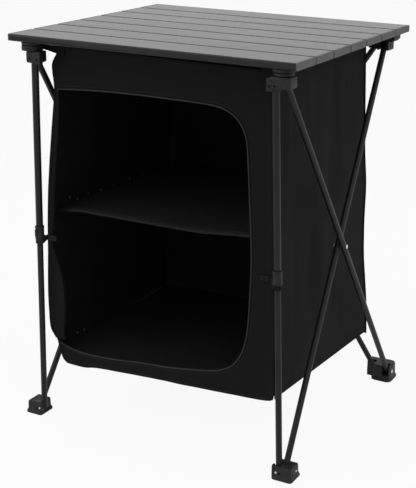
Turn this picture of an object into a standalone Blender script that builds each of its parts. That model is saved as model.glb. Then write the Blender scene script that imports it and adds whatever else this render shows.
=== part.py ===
"""Camping cupboard: roll-top table of seven slats on a folding tube frame, with a hung cloth cabinet.

X runs along the front, from left to right; the front faces -Y; Z is up; the floor is z = 0.
Sizes are written in millimetres and turned into metres when a mesh is made.
"""

import math

import bmesh
import bpy
from mathutils import Matrix, Vector

MM = 0.001

GAP = 0.3

# Table top
TOP_WIDTH = 600.0
TOP_DEPTH = 530.0
TOP_HEIGHT = 785.0
TOP_CENTRE_Y = -12.0
SLATS = 7
SLAT_THICK = 13.4
SLAT_GAP = 2.6
SLAT_WALL = 1.5
LIP = 2.2
CAP_PLATE = 3.0
CAP_PLUG = 14.0

# Cups under the top and the brackets' heads in them
CUP_SIZE = 42.0
CUP_WALL = 3.0
CUP_LID = 3.4
CUP_INSET = 6.0
CUP_SIDE_INSET = 14.0
HEAD_SLACK = 1.6
HEAD_TALL = 10.6
BLOCK_TALL = 24.0
POCKET_ROOF = 5.0

# Folding frame: every pair of crossing tubes is equally long
PIVOT_DROP = 15.0
PIVOT_LOW = 22.0
PIVOT_INSET = 23.0
SIDE_INSET = 35.0
SPLAY = 31.0
TUBE_R = 6.0
TUBE_WALL = 1.0
TUBE_END = 4.0
CROSS_STEP = 12.6
REAR_STEP = 13.0

# Front legs
LEG_IN = 13.0
LEG_STEP = 17.0
LEG_UPPER_R = 8.0
LEG_LOWER_R = 7.0
LEG_WALL = 0.8
LEG_END = 8.0
LEG_OVERLAP = 190.0
COLLAR_Z = 397.0
COLLAR_H = 26.0
COLLAR_R = 10.8

# Feet and rivets
FOOT_HEIGHT = 36.0
SOLE = 14.0
RIVET_R = 2.0
RIVET_HOLE = 2.5
RIVET_HEAD_R = 4.4
RIVET_HEAD = 1.7
LEAN_HOLE = 2.9
OPEN_HOLE = 3.4
LUG_STEP = 4.0
FACE_STEP = 34.0

# Cloth cabinet
CLOTH = 1.8
CAB_FRONT_STEP = 13.0
CAB_REAR_STEP = 38.0
CAB_DROP_LEFT = 6.0
CAB_DROP_RIGHT = 12.0
CAB_LOW_LEFT = 113.0
CAB_LOW_RIGHT = 136.0
CAB_LOW_REAR = 118.0
LEFT_STEP = 41.0
LEFT_BULGE = 40.0
LEFT_BULGE_DROP = 561.0
RIGHT_STEP = 36.0
RIGHT_SPREAD = 20.0
BACK_STEP = 39.0
REAR_SPREAD = 22.0
DOOR_DROP = 64.0
DOOR_SIDE = 38.0
DOOR_CORNER = 78.0
DOOR_SWEEP_WIDE = 96.0
DOOR_SWEEP_TALL = 118.0
STILE = 9.0
SHELF_Z = 448.0
SHELF_THICK = 4.0
SHELF_BEAD_R = 3.2
FLOOR_Z = 146.0
FOLD = 1.5
BOARD_GAP = CLOTH / 2 + 0.6
WEBBING = 1.2
PIPING = 2.8

# Worked out from the above
SLAT_PITCH = TOP_DEPTH / SLATS
TOP_UNDER = TOP_HEIGHT - SLAT_THICK
TOP_FRONT = TOP_CENTRE_Y - TOP_DEPTH / 2
TOP_REAR = TOP_CENTRE_Y + TOP_DEPTH / 2
CUP_OUTER_X = TOP_WIDTH / 2 - CUP_SIDE_INSET
HEAD_TOP = TOP_UNDER - CUP_LID - 2 * GAP
BLOCK_TOP = HEAD_TOP - HEAD_TALL
BLOCK_LOW = BLOCK_TOP - BLOCK_TALL
POCKET_TOP = BLOCK_TOP - POCKET_ROOF
PIVOT_TOP = BLOCK_TOP - PIVOT_DROP
SIDE_Y = TOP_DEPTH / 2 - PIVOT_INSET
SIDE_SPAN = 2 * SIDE_Y
SIDE_TOP_X = TOP_WIDTH / 2 - SIDE_INSET
LEG_Y = -SIDE_Y - LEG_STEP
REAR_Y = SIDE_Y + REAR_STEP
REAR_Y2 = REAR_Y + CROSS_STEP
REAR_FACE = SIDE_Y + FACE_STEP
LUG_Y = SIDE_Y + LUG_STEP
LEAN = math.atan2(SPLAY, PIVOT_TOP - PIVOT_LOW)
SLANT = math.hypot(SPLAY, PIVOT_TOP - PIVOT_LOW)
TUBE_SPAN = math.hypot(SIDE_SPAN, SLANT)
REAR_MEAN = math.sqrt(TUBE_SPAN**2 - (PIVOT_TOP - PIVOT_LOW) ** 2)
REAR_TOP_PIVOT = (REAR_MEAN - SPLAY) / 2
REAR_LOW_PIVOT = (REAR_MEAN + SPLAY) / 2
INNER_TOP_X = SIDE_TOP_X - CROSS_STEP
FOOT_X = SIDE_TOP_X + SPLAY
CAB_FRONT_Y = -SIDE_Y + CAB_FRONT_STEP
CAB_REAR_Y = SIDE_Y - CAB_REAR_STEP
CAB_TOP_LEFT = BLOCK_TOP - CAB_DROP_LEFT
CAB_TOP_RIGHT = BLOCK_TOP - CAB_DROP_RIGHT
LEFT_TOP_X = SIDE_TOP_X - LEFT_STEP
RIGHT_TOP_X = SIDE_TOP_X - RIGHT_STEP
REAR_TOP_X = SIDE_TOP_X - BACK_STEP
DOOR_TOP = CAB_TOP_LEFT - DOOR_DROP
DOOR_LOW = FLOOR_Z + 4.0
DOOR_RIGHT = RIGHT_TOP_X - DOOR_SIDE

for old in list(bpy.data.objects):
    bpy.data.objects.remove(old, do_unlink=True)

SCENE = bpy.context.scene
PARTS = bpy.data.collections.new("camping_cupboard")
CUTTERS = bpy.data.collections.new("cutters")
SCENE.collection.children.link(PARTS)
SCENE.collection.children.link(CUTTERS)


def material(name, colour, metallic, roughness):
    made = bpy.data.materials.new(name)
    made.use_nodes = True
    shader = made.node_tree.nodes["Principled BSDF"]
    shader.inputs["Base Color"].default_value = (*colour, 1.0)
    shader.inputs["Metallic"].default_value = metallic
    shader.inputs["Roughness"].default_value = roughness
    return made


LOOKS = {
    "aluminium": ((0.62, 0.63, 0.64), 0.9, 0.35),
    "end_plastic": ((0.10, 0.10, 0.11), 0.0, 0.5),
    "black_steel": ((0.03, 0.03, 0.035), 0.4, 0.4),
    "black_plastic": ((0.02, 0.02, 0.022), 0.0, 0.45),
    "rivet_steel": ((0.5, 0.5, 0.5), 1.0, 0.3),
    "cloth": ((0.015, 0.015, 0.017), 0.0, 0.9),
    "piping": ((0.05, 0.05, 0.055), 0.0, 0.7),
    "webbing": ((0.04, 0.04, 0.045), 0.0, 0.8),
}


def part(name, mesh, look, smooth=True):
    """A finished piece, with a material of its own."""
    colour, metallic, roughness = LOOKS[look]
    mesh.name = name
    mesh.materials.clear()
    mesh.materials.append(material(name, colour, metallic, roughness))
    if smooth:
        mesh.shade_smooth()
        mesh.set_sharp_from_angle(angle=math.radians(35))
    made = bpy.data.objects.new(name, mesh)
    PARTS.objects.link(made)
    return made


def cutter(mesh):
    made = bpy.data.objects.new("cutter", mesh)
    made.hide_render = True
    made.display_type = "WIRE"
    CUTTERS.objects.link(made)
    return made


def cut(obj, meshes):
    """Takes each cutter mesh out of the object."""
    for mesh in meshes:
        away = obj.modifiers.new("cut", "BOOLEAN")
        away.operation = "DIFFERENCE"
        away.solver = "EXACT"
        away.object = cutter(mesh)
    return obj


def soften(obj, width, segments=2):
    """Rounds the hard edges."""
    bevel = obj.modifiers.new("round", "BEVEL")
    bevel.width = width * MM
    bevel.segments = segments
    bevel.limit_method = "ANGLE"
    bevel.angle_limit = math.radians(40)
    bevel.harden_normals = False
    return obj


def mesh_of(bm):
    mesh = bpy.data.meshes.new("piece")
    bmesh.ops.recalc_face_normals(bm, faces=bm.faces)
    bm.to_mesh(mesh)
    bm.free()
    return mesh


def box(low, high):
    bm = bmesh.new()
    bmesh.ops.create_cube(bm, size=1.0)
    middle = [(a + b) / 2 * MM for a, b in zip(low, high)]
    size = [(b - a) * MM for a, b in zip(low, high)]
    bmesh.ops.scale(bm, vec=size, verts=bm.verts)
    bmesh.ops.translate(bm, vec=middle, verts=bm.verts)
    return mesh_of(bm)


def aim(start, end):
    """The matrix that takes Z at the origin to the line from start towards end."""
    way = (Vector(end) - Vector(start)).normalized()
    turn = way.to_track_quat("Z", "Y").to_matrix().to_4x4()
    return Matrix.Translation(Vector(start) * MM) @ turn


def rod(start, end, radius, sides=24):
    """A round bar between two points."""
    long = (Vector(end) - Vector(start)).length * MM
    bm = bmesh.new()
    bmesh.ops.create_cone(
        bm, cap_ends=True, segments=sides, radius1=radius * MM, radius2=radius * MM, depth=long
    )
    bmesh.ops.translate(bm, vec=(0, 0, long / 2), verts=bm.verts)
    bmesh.ops.transform(bm, matrix=aim(start, end), verts=bm.verts)
    return mesh_of(bm)


def turned(profile, start, end, steps=16, closed=False):
    """A profile of (radius, height) points, turned about the line that starts at start."""
    bm = bmesh.new()
    points = [bm.verts.new((r * MM, 0, z * MM)) for r, z in profile]
    for a, b in zip(points, points[1:]):
        bm.edges.new((a, b))
    if closed:
        bm.edges.new((points[-1], points[0]))
    flat = bpy.data.meshes.new("profile")
    bm.to_mesh(flat)
    bm.free()
    holder = bpy.data.objects.new("profile", flat)
    PARTS.objects.link(holder)
    screw = holder.modifiers.new("turn", "SCREW")
    screw.steps = steps
    screw.render_steps = steps
    screw.use_merge_vertices = True
    screw.merge_threshold = 1e-5
    bpy.context.view_layer.update()
    graph = bpy.context.evaluated_depsgraph_get()
    made = bpy.data.meshes.new_from_object(holder.evaluated_get(graph))
    bpy.data.objects.remove(holder, do_unlink=True)
    bm = bmesh.new()
    bm.from_mesh(made)
    bpy.data.meshes.remove(made)
    bmesh.ops.remove_doubles(bm, verts=bm.verts, dist=1e-6)
    bmesh.ops.transform(bm, matrix=aim(start, end), verts=bm.verts)
    return mesh_of(bm)


def pipe(start, end, radius, wall, before=0.0, after=0.0):
    """A tube whose wall is turned from a rectangle, longer than the line at each end."""
    way = (Vector(end) - Vector(start)).normalized()
    first = Vector(start) - way * before
    last = Vector(end) + way * after
    long = (last - first).length
    ring = [(radius, long), (radius, 0), (radius - wall, 0), (radius - wall, long)]
    return turned(ring, first, last, closed=True)


def plate(outlines, low, high, upright=False):
    """A flat outline, with any holes, between two heights; upright plates stand along X and face -Y."""
    curve = bpy.data.curves.new("outline", "CURVE")
    curve.dimensions = "2D"
    curve.fill_mode = "BOTH"
    curve.extrude = (high - low) / 2 * MM
    for outline in outlines:
        spline = curve.splines.new("POLY")
        spline.points.add(len(outline) - 1)
        for point, (x, y) in zip(spline.points, outline):
            point.co = (x * MM, y * MM, 0, 1)
        spline.use_cyclic_u = True
    holder = bpy.data.objects.new("outline", curve)
    PARTS.objects.link(holder)
    bpy.context.view_layer.update()
    graph = bpy.context.evaluated_depsgraph_get()
    made = bpy.data.meshes.new_from_object(holder.evaluated_get(graph))
    bpy.data.objects.remove(holder, do_unlink=True)
    bm = bmesh.new()
    bm.from_mesh(made)
    bpy.data.meshes.remove(made)
    bmesh.ops.remove_doubles(bm, verts=bm.verts, dist=1e-7)
    middle = Vector((0, 0, (low + high) / 2 * MM))
    move = Matrix.Translation(middle)
    if upright:
        move = Matrix.Translation((0, middle.z, 0)) @ Matrix.Rotation(math.pi / 2, 4, "X")
    bmesh.ops.transform(bm, matrix=move, verts=bm.verts)
    return mesh_of(bm)


def arc(centre, radius, first, last, count):
    """Points on an arc, in degrees, both ends included."""
    turns = [math.radians(first + (last - first) * i / count) for i in range(count + 1)]
    return [(centre[0] + radius * math.cos(t), centre[1] + radius * math.sin(t)) for t in turns]


def rounded(low, high, radius, count=4):
    """A rounded rectangle, anticlockwise from its lower right corner."""
    (x0, y0), (x1, y1) = low, high
    corners = (
        ((x1 - radius, y0 + radius), -90),
        ((x1 - radius, y1 - radius), 0),
        ((x0 + radius, y1 - radius), 90),
        ((x0 + radius, y0 + radius), 180),
    )
    points = []
    for centre, first in corners:
        points += arc(centre, radius, first, first + 90, count)
    return points


def loft(rings):
    """A closed solid through rings of points that all have the same count."""
    bm = bmesh.new()
    rows = [[bm.verts.new(Vector(p) * MM) for p in ring] for ring in rings]
    count = len(rows[0])
    for low, high in zip(rows, rows[1:]):
        for i in range(count):
            j = (i + 1) % count
            bm.faces.new((low[i], low[j], high[j], high[i]))
    bm.faces.new(rows[0][::-1])
    bm.faces.new(rows[-1])
    return mesh_of(bm)


def mirrored(outline, side):
    """The outline as it is on the right, or turned over for the left."""
    return outline if side > 0 else [(-x, y) for x, y in reversed(outline)]


def side_box(side, low, high):
    """A box given for the right side, put on either side."""
    if side > 0:
        return box(low, high)
    return box((-high[0], low[1], low[2]), (-low[0], high[1], high[2]))


def on_side(side, out, y, down):
    """A point of a side frame: out from the outer tubes' plane, along Y, and down the leaning plane."""
    x = SIDE_TOP_X + down * math.sin(LEAN) + out * math.cos(LEAN)
    z = PIVOT_TOP - down * math.cos(LEAN) + out * math.sin(LEAN)
    return (side * x, y, z)


def rivet(start, end, sink=-GAP, tail=True):
    """A rivet between two faces. Its heads stand off the faces, or sink into them to be one with the piece."""
    way = (Vector(end) - Vector(start)).normalized()
    first = Vector(start) + way * (sink - RIVET_HEAD)
    grip = (Vector(end) - Vector(start)).length - 2 * sink + RIVET_HEAD
    profile = [(0, 0), (RIVET_HEAD_R * 0.6, 0.1), (RIVET_HEAD_R, RIVET_HEAD * 0.6)]
    profile += [(RIVET_HEAD_R, RIVET_HEAD), (RIVET_R, RIVET_HEAD)]
    if tail:
        profile += [(RIVET_R, grip), (RIVET_HEAD_R * 0.8, grip)]
        profile += [(RIVET_HEAD_R * 0.8, grip + RIVET_HEAD * 0.6), (0, grip + RIVET_HEAD * 0.7)]
    else:
        profile += [(RIVET_R, grip), (0, grip)]
    return turned(profile[::-1], first, Vector(first) + way, steps=10)


def union(obj, mesh):
    add = obj.modifiers.new("join", "BOOLEAN")
    add.operation = "UNION"
    add.solver = "EXACT"
    add.object = cutter(mesh)
    return obj


def hole(point, axis, reach, radius=RIVET_HOLE):
    way = Vector(axis).normalized() * reach
    return rod(Vector(point) - way, Vector(point) + way, radius, sides=10)


SIDES = (("left", -1), ("right", 1))

# Slats: hollow aluminium bars, with plastic caps plugged into both ends
for number in range(1, SLATS + 1):
    front = TOP_FRONT + (number - 1) * SLAT_PITCH + (SLAT_GAP / 2 if number > 1 else 0)
    rear = TOP_FRONT + number * SLAT_PITCH - (SLAT_GAP / 2 if number < SLATS else 0)
    outline = rounded((front, TOP_UNDER), (rear, TOP_HEIGHT), 2.4, 2)
    cavity = rounded(
        (front + SLAT_WALL, TOP_UNDER + SLAT_WALL), (rear - SLAT_WALL, TOP_HEIGHT - SLAT_WALL), 1.2, 1
    )
    half = TOP_WIDTH / 2 - CAP_PLATE - GAP
    profile = list(outline)
    if number > 1:
        lip = front - SLAT_GAP + GAP
        profile = [point for point in outline if point[0] > front + 2.41 or point[1] > TOP_HEIGHT - 5.0]
        profile += [(front, TOP_UNDER + LIP), (lip, TOP_UNDER + LIP), (lip, TOP_UNDER)]
    bar = plate([profile, cavity], -half, half)
    turn = Matrix(((0, 0, 1, 0), (1, 0, 0, 0), (0, 1, 0, 0), (0, 0, 0, 1)))
    bar.transform(turn)
    part(f"slat_{number}", bar, "aluminium")
    clear = SLAT_WALL + GAP
    core = rounded((front + clear, TOP_UNDER + clear), (rear - clear, TOP_HEIGHT - clear), 1.0, 1)
    for word, side in SIDES:
        ends = sorted((side * TOP_WIDTH / 2, side * (TOP_WIDTH / 2 - CAP_PLATE)))
        face = plate([outline], ends[0], ends[1])
        ends = sorted((side * (half + 1.0), side * (half - CAP_PLUG)))
        plug = plate([core], ends[0], ends[1])
        face.transform(turn)
        plug.transform(turn)
        union(part(f"slat_cap_{word}_{number}", face, "end_plastic"), plug)

# Cups under the corners of the top, open towards the middle
for place, y0, y1, wall_y in (
    ("front", TOP_FRONT + CUP_INSET, TOP_FRONT + CUP_INSET + CUP_SIZE, -1),
    ("rear", TOP_REAR - CUP_INSET - CUP_SIZE, TOP_REAR - CUP_INSET, 1),
):
    for word, side in SIDES:
        x1 = CUP_OUTER_X
        x0 = x1 - CUP_SIZE
        r = 8.0
        if wall_y < 0:
            lid = [(x0, y0)] + arc((x1 - r, y0 + r), r, -90, 0, 4) + [(x1, y1), (x0, y1)]
            inner = arc((x1 - r, y0 + r), r - CUP_WALL, 0, -90, 4)
            rim = [(x0, y0)] + arc((x1 - r, y0 + r), r, -90, 0, 4) + [(x1, y1), (x1 - CUP_WALL, y1)]
            rim += inner + [(x0, y0 + CUP_WALL)]
        else:
            lid = [(x0, y0), (x1, y0)] + arc((x1 - r, y1 - r), r, 0, 90, 4) + [(x0, y1)]
            inner = arc((x1 - r, y1 - r), r - CUP_WALL, 90, 0, 4)
            rim = [(x1 - CUP_WALL, y0), (x1, y0)] + arc((x1 - r, y1 - r), r, 0, 90, 4)
            rim += [(x0, y1), (x0, y1 - CUP_WALL)] + inner
        lid_plate = plate([mirrored(lid, side)], HEAD_TOP + GAP, TOP_UNDER - GAP)
        rim_plate = plate([mirrored(rim, side)], BLOCK_TOP + 1.0, HEAD_TOP + GAP + 1.0)
        union(part(f"cup_{place}_{word}", lid_plate, "black_plastic"), rim_plate)

# Front brackets: one arm takes the leg, the other the outer side tube
HEAD_EDGE = CUP_INSET + CUP_WALL + GAP
for word, side in SIDES:
    x0 = SIDE_TOP_X - 28.0
    x1 = SIDE_TOP_X + 16.0
    arm_x = SIDE_TOP_X - 10.5
    y0 = -SIDE_Y - 28.0
    y1 = -SIDE_Y + 24.0
    arm_y = -SIDE_Y - 4.5
    outline = [(x0, y0)] + arc((x1 - 6, y0 + 6), 6, -90, 0, 3)
    outline += [(x1, y1), (arm_x, y1), (arm_x, arm_y), (x0, arm_y)]
    block_mesh = plate([mirrored(outline, side)], BLOCK_LOW, BLOCK_TOP)
    block = part(f"bracket_front_{word}", block_mesh, "black_plastic")
    head_x0 = SIDE_TOP_X - 19.0
    head_x1 = CUP_OUTER_X - CUP_WALL - HEAD_SLACK
    head_y0 = TOP_FRONT + HEAD_EDGE
    head_y1 = CAB_FRONT_Y - 2.5
    head = [(head_x0, head_y0)] + arc((head_x1 - 6, head_y0 + 6), 6, -90, 0, 3)
    head += [(head_x1, head_y1), (head_x0, head_y1)]
    union(block, plate([mirrored(head, side)], BLOCK_TOP - 2.0, HEAD_TOP))
    leg_top = on_side(side, -LEG_IN, LEG_Y, -LEG_END - 1.0)
    leg_way = on_side(side, -LEG_IN, LEG_Y, 40.0)
    slot_low = (SIDE_TOP_X - 7.0, -SIDE_Y - 8.0, BLOCK_LOW - 30.0)
    slot_high = (SIDE_TOP_X + 7.8, y1 + 20, POCKET_TOP)
    cut(block, [rod(leg_top, leg_way, LEG_UPPER_R + 0.7, 16), side_box(side, slot_low, slot_high)])
    leg_x, _, leg_z = on_side(side, -LEG_IN, LEG_Y, 0)
    union(block, rivet((leg_x, y0, leg_z), (leg_x, arm_y, leg_z), 0.4))
    out = (x1 - SIDE_TOP_X) / math.cos(LEAN)
    inside = (arm_x - SIDE_TOP_X) / math.cos(LEAN)
    union(block, rivet(on_side(side, out, -SIDE_Y, 0), on_side(side, inside, -SIDE_Y, 0), 0.5))

# Rear brackets: one arm takes the inner side tube, the other a rear tube
for word, side in SIDES:
    x0 = INNER_TOP_X - 11.4
    x1 = INNER_TOP_X + 13.6
    tail_x = REAR_TOP_PIVOT - 11.0
    y0 = SIDE_Y - 14.0
    corner_y = SIDE_Y + 16.0
    arm_y = SIDE_Y + 2.5
    outline = [(x0, y0), (x1, y0), (x1, corner_y), (x1 - 16, REAR_FACE), (tail_x, REAR_FACE)]
    outline += [(tail_x, arm_y), (x0, arm_y)]
    block_mesh = plate([mirrored(outline, side)], BLOCK_LOW, BLOCK_TOP)
    block = part(f"bracket_rear_{word}", block_mesh, "black_plastic")
    head_x0 = SIDE_TOP_X - 25.0
    head_x1 = CUP_OUTER_X - CUP_WALL - GAP
    head_y0 = CAB_REAR_Y + 3.0
    head_y1 = TOP_REAR - HEAD_EDGE
    head = [(head_x0, head_y0), (head_x1, head_y0)] + arc((head_x1 - 6, head_y1 - 6), 6, 0, 90, 3)
    head += [(head_x0, head_y1)]
    union(block, plate([mirrored(head, side)], BLOCK_TOP - 2.0, HEAD_TOP))
    tube_y = REAR_Y if side < 0 else REAR_Y2
    low = BLOCK_LOW - 30.0
    side_slot = side_box(
        side, (INNER_TOP_X - 7.6, y0 - 20, low), (INNER_TOP_X + 7.6, SIDE_Y + 8.0, POCKET_TOP)
    )
    rear_slot = side_box(
        side, (tail_x - 16, tube_y - 6.8, low), (REAR_TOP_PIVOT + 8.0, tube_y + 6.8, POCKET_TOP)
    )
    cut(block, [side_slot, rear_slot])
    out = (x1 - INNER_TOP_X) / math.cos(LEAN) - CROSS_STEP
    inside = (x0 - INNER_TOP_X) / math.cos(LEAN) - CROSS_STEP
    union(block, rivet(on_side(side, out, SIDE_Y, 0), on_side(side, inside, SIDE_Y, 0), 0.5))
    rear_x = side * REAR_TOP_PIVOT
    union(block, rivet((rear_x, arm_y, PIVOT_TOP), (rear_x, REAR_FACE, PIVOT_TOP), 0.4))

# Feet
FLANK = 2.9
LEVELS = ((0.0, 1.2), (0.033, 0.0), (0.14, 0.0), (0.236, 2.4), (0.833, 3.2), (0.93, 3.6), (1.0, 4.8))


def foot_body(side, low, high):
    rings = []
    for share, inset in LEVELS:
        z = share * FOOT_HEIGHT
        ring = rounded(
            (low[0] + inset, low[1] + inset), (high[0] - inset, high[1] - inset), 10.0 - inset * 0.5, 2
        )
        rings.append([(x, y, z) for x, y in mirrored(ring, side)])
    return loft(rings)


for word, side in SIDES:
    leg_low = on_side(side, -LEG_IN, LEG_Y, SLANT)
    inner_x = INNER_TOP_X + SPLAY
    x0 = FOOT_X - 36.0
    x1 = FOOT_X + 10.0
    y0 = -SIDE_Y - 33.0
    y1 = -SIDE_Y + 20.0
    body = part(f"foot_front_{word}", foot_body(side, (x0, y0), (x1, y1)), "black_plastic")
    socket_low = on_side(side, -LEG_IN, LEG_Y, SLANT + LEG_END + 1)
    socket_top = on_side(side, -LEG_IN, LEG_Y, SLANT - 60)
    slot_low = (inner_x - 7.2, -SIDE_Y - 8.0, SOLE)
    slot_high = (inner_x + 7.2, y1 + 40, FOOT_HEIGHT + 24)
    cut(body, [rod(socket_low, socket_top, LEG_LOWER_R + 0.7, 16), side_box(side, slot_low, slot_high)])
    front = (leg_low[0], y0 + FLANK, leg_low[2])
    union(body, rivet(front, (leg_low[0], -SIDE_Y - 8.4, leg_low[2]), 0.5, tail=False))
    out = x1 - FLANK - inner_x - CROSS_STEP
    inside = x0 + FLANK - inner_x - CROSS_STEP
    union(body, rivet(on_side(side, out, -SIDE_Y, SLANT), on_side(side, inside, -SIDE_Y, SLANT), 0.5))

for word, side in SIDES:
    x0 = FOOT_X - 34.0
    x1 = FOOT_X + 13.5
    y0 = SIDE_Y - 16.0
    body = part(f"foot_rear_{word}", foot_body(side, (x0, y0), (x1, REAR_FACE)), "black_plastic")
    lug_x = REAR_LOW_PIVOT - 12.0
    lug = rounded((lug_x, LUG_Y), (FOOT_X - 24.0, REAR_FACE), 3.0, 2)
    union(body, plate([mirrored(lug, side)], 0.0, FOOT_HEIGHT - 3.0))
    tube_y = REAR_Y if side > 0 else REAR_Y2
    high = FOOT_HEIGHT + 24
    side_slot = side_box(side, (FOOT_X - 7.0, y0 - 26, SOLE), (FOOT_X + 7.0, SIDE_Y + 8.0, high))
    rear_slot = side_box(
        side, (lug_x - 16, tube_y - 6.6, SOLE), (REAR_LOW_PIVOT + 8.0, tube_y + 6.6, high)
    )
    pin_hole = hole(on_side(side, 0, SIDE_Y, SLANT), (side, 0, math.tan(LEAN)), 18.5, LEAN_HOLE)
    cut(body, [side_slot, rear_slot, pin_hole])
    rear_x = side * REAR_LOW_PIVOT
    union(body, rivet((rear_x, LUG_Y, PIVOT_LOW), (rear_x, REAR_FACE, PIVOT_LOW), 0.4))
    out = x1 - FLANK - FOOT_X + 0.3
    pin = rivet(on_side(side, out, SIDE_Y, SLANT), on_side(side, -17.5, SIDE_Y, SLANT), tail=False)
    part(f"lean_pin_{word}", pin, "rivet_steel")

# Side tubes: the outer one runs from the front bracket to the rear foot, the inner one the other way
for word, side in SIDES:
    normal = (side, 0, math.tan(LEAN))
    for name, out, y0, y1 in (("outer", 0.0, -SIDE_Y, SIDE_Y), ("inner", -CROSS_STEP, SIDE_Y, -SIDE_Y)):
        top = on_side(side, out, y0, 0)
        low = on_side(side, out, y1, SLANT)
        tube = part(f"tube_{word}_{name}", pipe(top, low, TUBE_R, TUBE_WALL, TUBE_END, TUBE_END), "black_steel")
        middle = on_side(side, out, 0, SLANT / 2)
        wide = OPEN_HOLE if name == "inner" else RIVET_HOLE
        cut(tube, [hole(top, normal, 12, wide), hole(low, normal, 12), hole(middle, normal, 12)])
    first = on_side(side, TUBE_R + 0.2, 0, SLANT / 2)
    last = on_side(side, -CROSS_STEP - TUBE_R - 0.2, 0, SLANT / 2)
    part(f"rivet_side_{word}", rivet(first, last), "rivet_steel")

# Rear tubes
CROSS = REAR_TOP_PIVOT / REAR_MEAN
REAR_CROSS_Z = PIVOT_TOP - (PIVOT_TOP - PIVOT_LOW) * CROSS
for name, side, y in (("a", 1, REAR_Y2), ("b", -1, REAR_Y)):
    top = (side * REAR_TOP_PIVOT, y, PIVOT_TOP)
    low = (-side * REAR_LOW_PIVOT, y, PIVOT_LOW)
    tube = part(f"tube_rear_{name}", pipe(top, low, TUBE_R, TUBE_WALL, TUBE_END, TUBE_END), "black_steel")
    cut(tube, [hole(p, (0, 1, 0), 12) for p in (top, low, (0, y, REAR_CROSS_Z))])
first = (0, REAR_Y - TUBE_R - 0.2, REAR_CROSS_Z)
last = (0, REAR_Y2 + TUBE_R + 0.2, REAR_CROSS_Z)
part("rivet_rear", rivet(first, last), "rivet_steel")

# Front legs in two lengths, with a collar on the upper one
COLLAR_DOWN = (PIVOT_TOP - COLLAR_Z) / math.cos(LEAN)
UPPER_END = COLLAR_DOWN + 4.0
for word, side in SIDES:
    top = on_side(side, -LEG_IN, LEG_Y, 0)
    low = on_side(side, -LEG_IN, LEG_Y, SLANT)
    end = on_side(side, -LEG_IN, LEG_Y, UPPER_END)
    upper = part(f"leg_upper_{word}", pipe(top, end, LEG_UPPER_R, LEG_WALL, LEG_END), "black_steel")
    cut(upper, [hole(top, (0, 1, 0), 16)])
    inner_top = on_side(side, -LEG_IN, LEG_Y, COLLAR_DOWN - LEG_OVERLAP)
    lower = part(f"leg_lower_{word}", pipe(inner_top, low, LEG_LOWER_R, LEG_WALL, 0, LEG_END), "black_steel")
    cut(lower, [hole(low, (0, 1, 0), 16)])
    start = on_side(side, -LEG_IN, LEG_Y, COLLAR_DOWN + COLLAR_H / 2)
    above = on_side(side, -LEG_IN, LEG_Y, COLLAR_DOWN)
    wide = LEG_UPPER_R + 0.2
    narrow = LEG_LOWER_R + 0.3
    step = COLLAR_H / 2 - 4.3
    ring = [(narrow, 0), (narrow, step), (wide, step), (wide, COLLAR_H), (COLLAR_R - 1, COLLAR_H)]
    ring += [(COLLAR_R, COLLAR_H - 1.2), (COLLAR_R, COLLAR_H - 6), (COLLAR_R - 1.2, COLLAR_H - 7)]
    ring += [(COLLAR_R - 1.2, 5), (COLLAR_R, 4), (COLLAR_R, 1.2), (COLLAR_R - 1, 0)]
    part(f"collar_{word}", turned(ring[::-1], start, above, steps=20, closed=True), "black_plastic")


# Cloth cabinet
def left_x(z):
    """The front left edge swells out below the top and tucks in under the floor's edge."""
    t = min(max((CAB_TOP_LEFT - z) / LEFT_BULGE_DROP, 0.0), 1.0)
    high_tuck = LEFT_BULGE * 0.47 * min(max((FLOOR_Z * 1.26 - z) / (FLOOR_Z * 0.185), 0.0), 1.0)
    low_tuck = LEFT_BULGE * 0.22 * min(max((FLOOR_Z * 1.075 - z) / (FLOOR_Z * 0.26), 0.0), 1.0)
    return LEFT_TOP_X + LEFT_BULGE * math.sin(t * math.pi / 2) - high_tuck - low_tuck


def right_x(z):
    return RIGHT_TOP_X + RIGHT_SPREAD * (CAB_TOP_RIGHT - z) / (CAB_TOP_RIGHT - CAB_LOW_RIGHT)


def rear_x(z):
    return REAR_TOP_X + REAR_SPREAD * (CAB_TOP_RIGHT - z) / (CAB_TOP_RIGHT - CAB_LOW_REAR)


def hang(u, v, turns):
    """How far a hanging panel's folds stand out, nothing along its edges."""
    return FOLD * math.sin(u * turns + v * 2.2) * math.sin(math.pi * v) * math.sin(math.pi * u)


def side_x(side, y, z):
    """The middle of a side panel, out from the centre plane."""
    u = min(max((y - SIDE_Y0) / (SIDE_Y1 - SIDE_Y0), 0.0), 1.0)
    v = min(max((z - CAB_LOW_REAR) / (CAB_TOP_RIGHT - CAB_LOW_REAR), 0.0), 1.0)
    front_edge = left_x(z) if side < 0 else right_x(z)
    return front_edge * (1 - u) + rear_x(z) * u - 1.2 - hang(u, v, 9.0)


def rear_y(x, z):
    """The middle of the rear panel, along Y."""
    v = min(max((z - CAB_LOW_REAR) / (CAB_TOP_RIGHT - CAB_LOW_REAR), 0.0), 1.0)
    u = min(max((x / rear_x(z) + 1) / 2, 0.0), 1.0)
    return CAB_REAR_Y + hang(u, v, 8.0)


def sheet(name, rows):
    """A cloth panel through rows of points, given thickness to both sides."""
    bm = bmesh.new()
    grid = [[bm.verts.new(Vector(p) * MM) for p in row] for row in rows]
    for low, high in zip(grid, grid[1:]):
        for i in range(len(low) - 1):
            bm.faces.new((low[i], low[i + 1], high[i + 1], high[i]))
    mesh = bpy.data.meshes.new("sheet")
    bm.to_mesh(mesh)
    bm.free()
    made = part(name, mesh, "cloth")
    solid = made.modifiers.new("thick", "SOLIDIFY")
    solid.thickness = CLOTH * MM
    solid.offset = 0.0
    solid.use_even_offset = True
    return made


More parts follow.
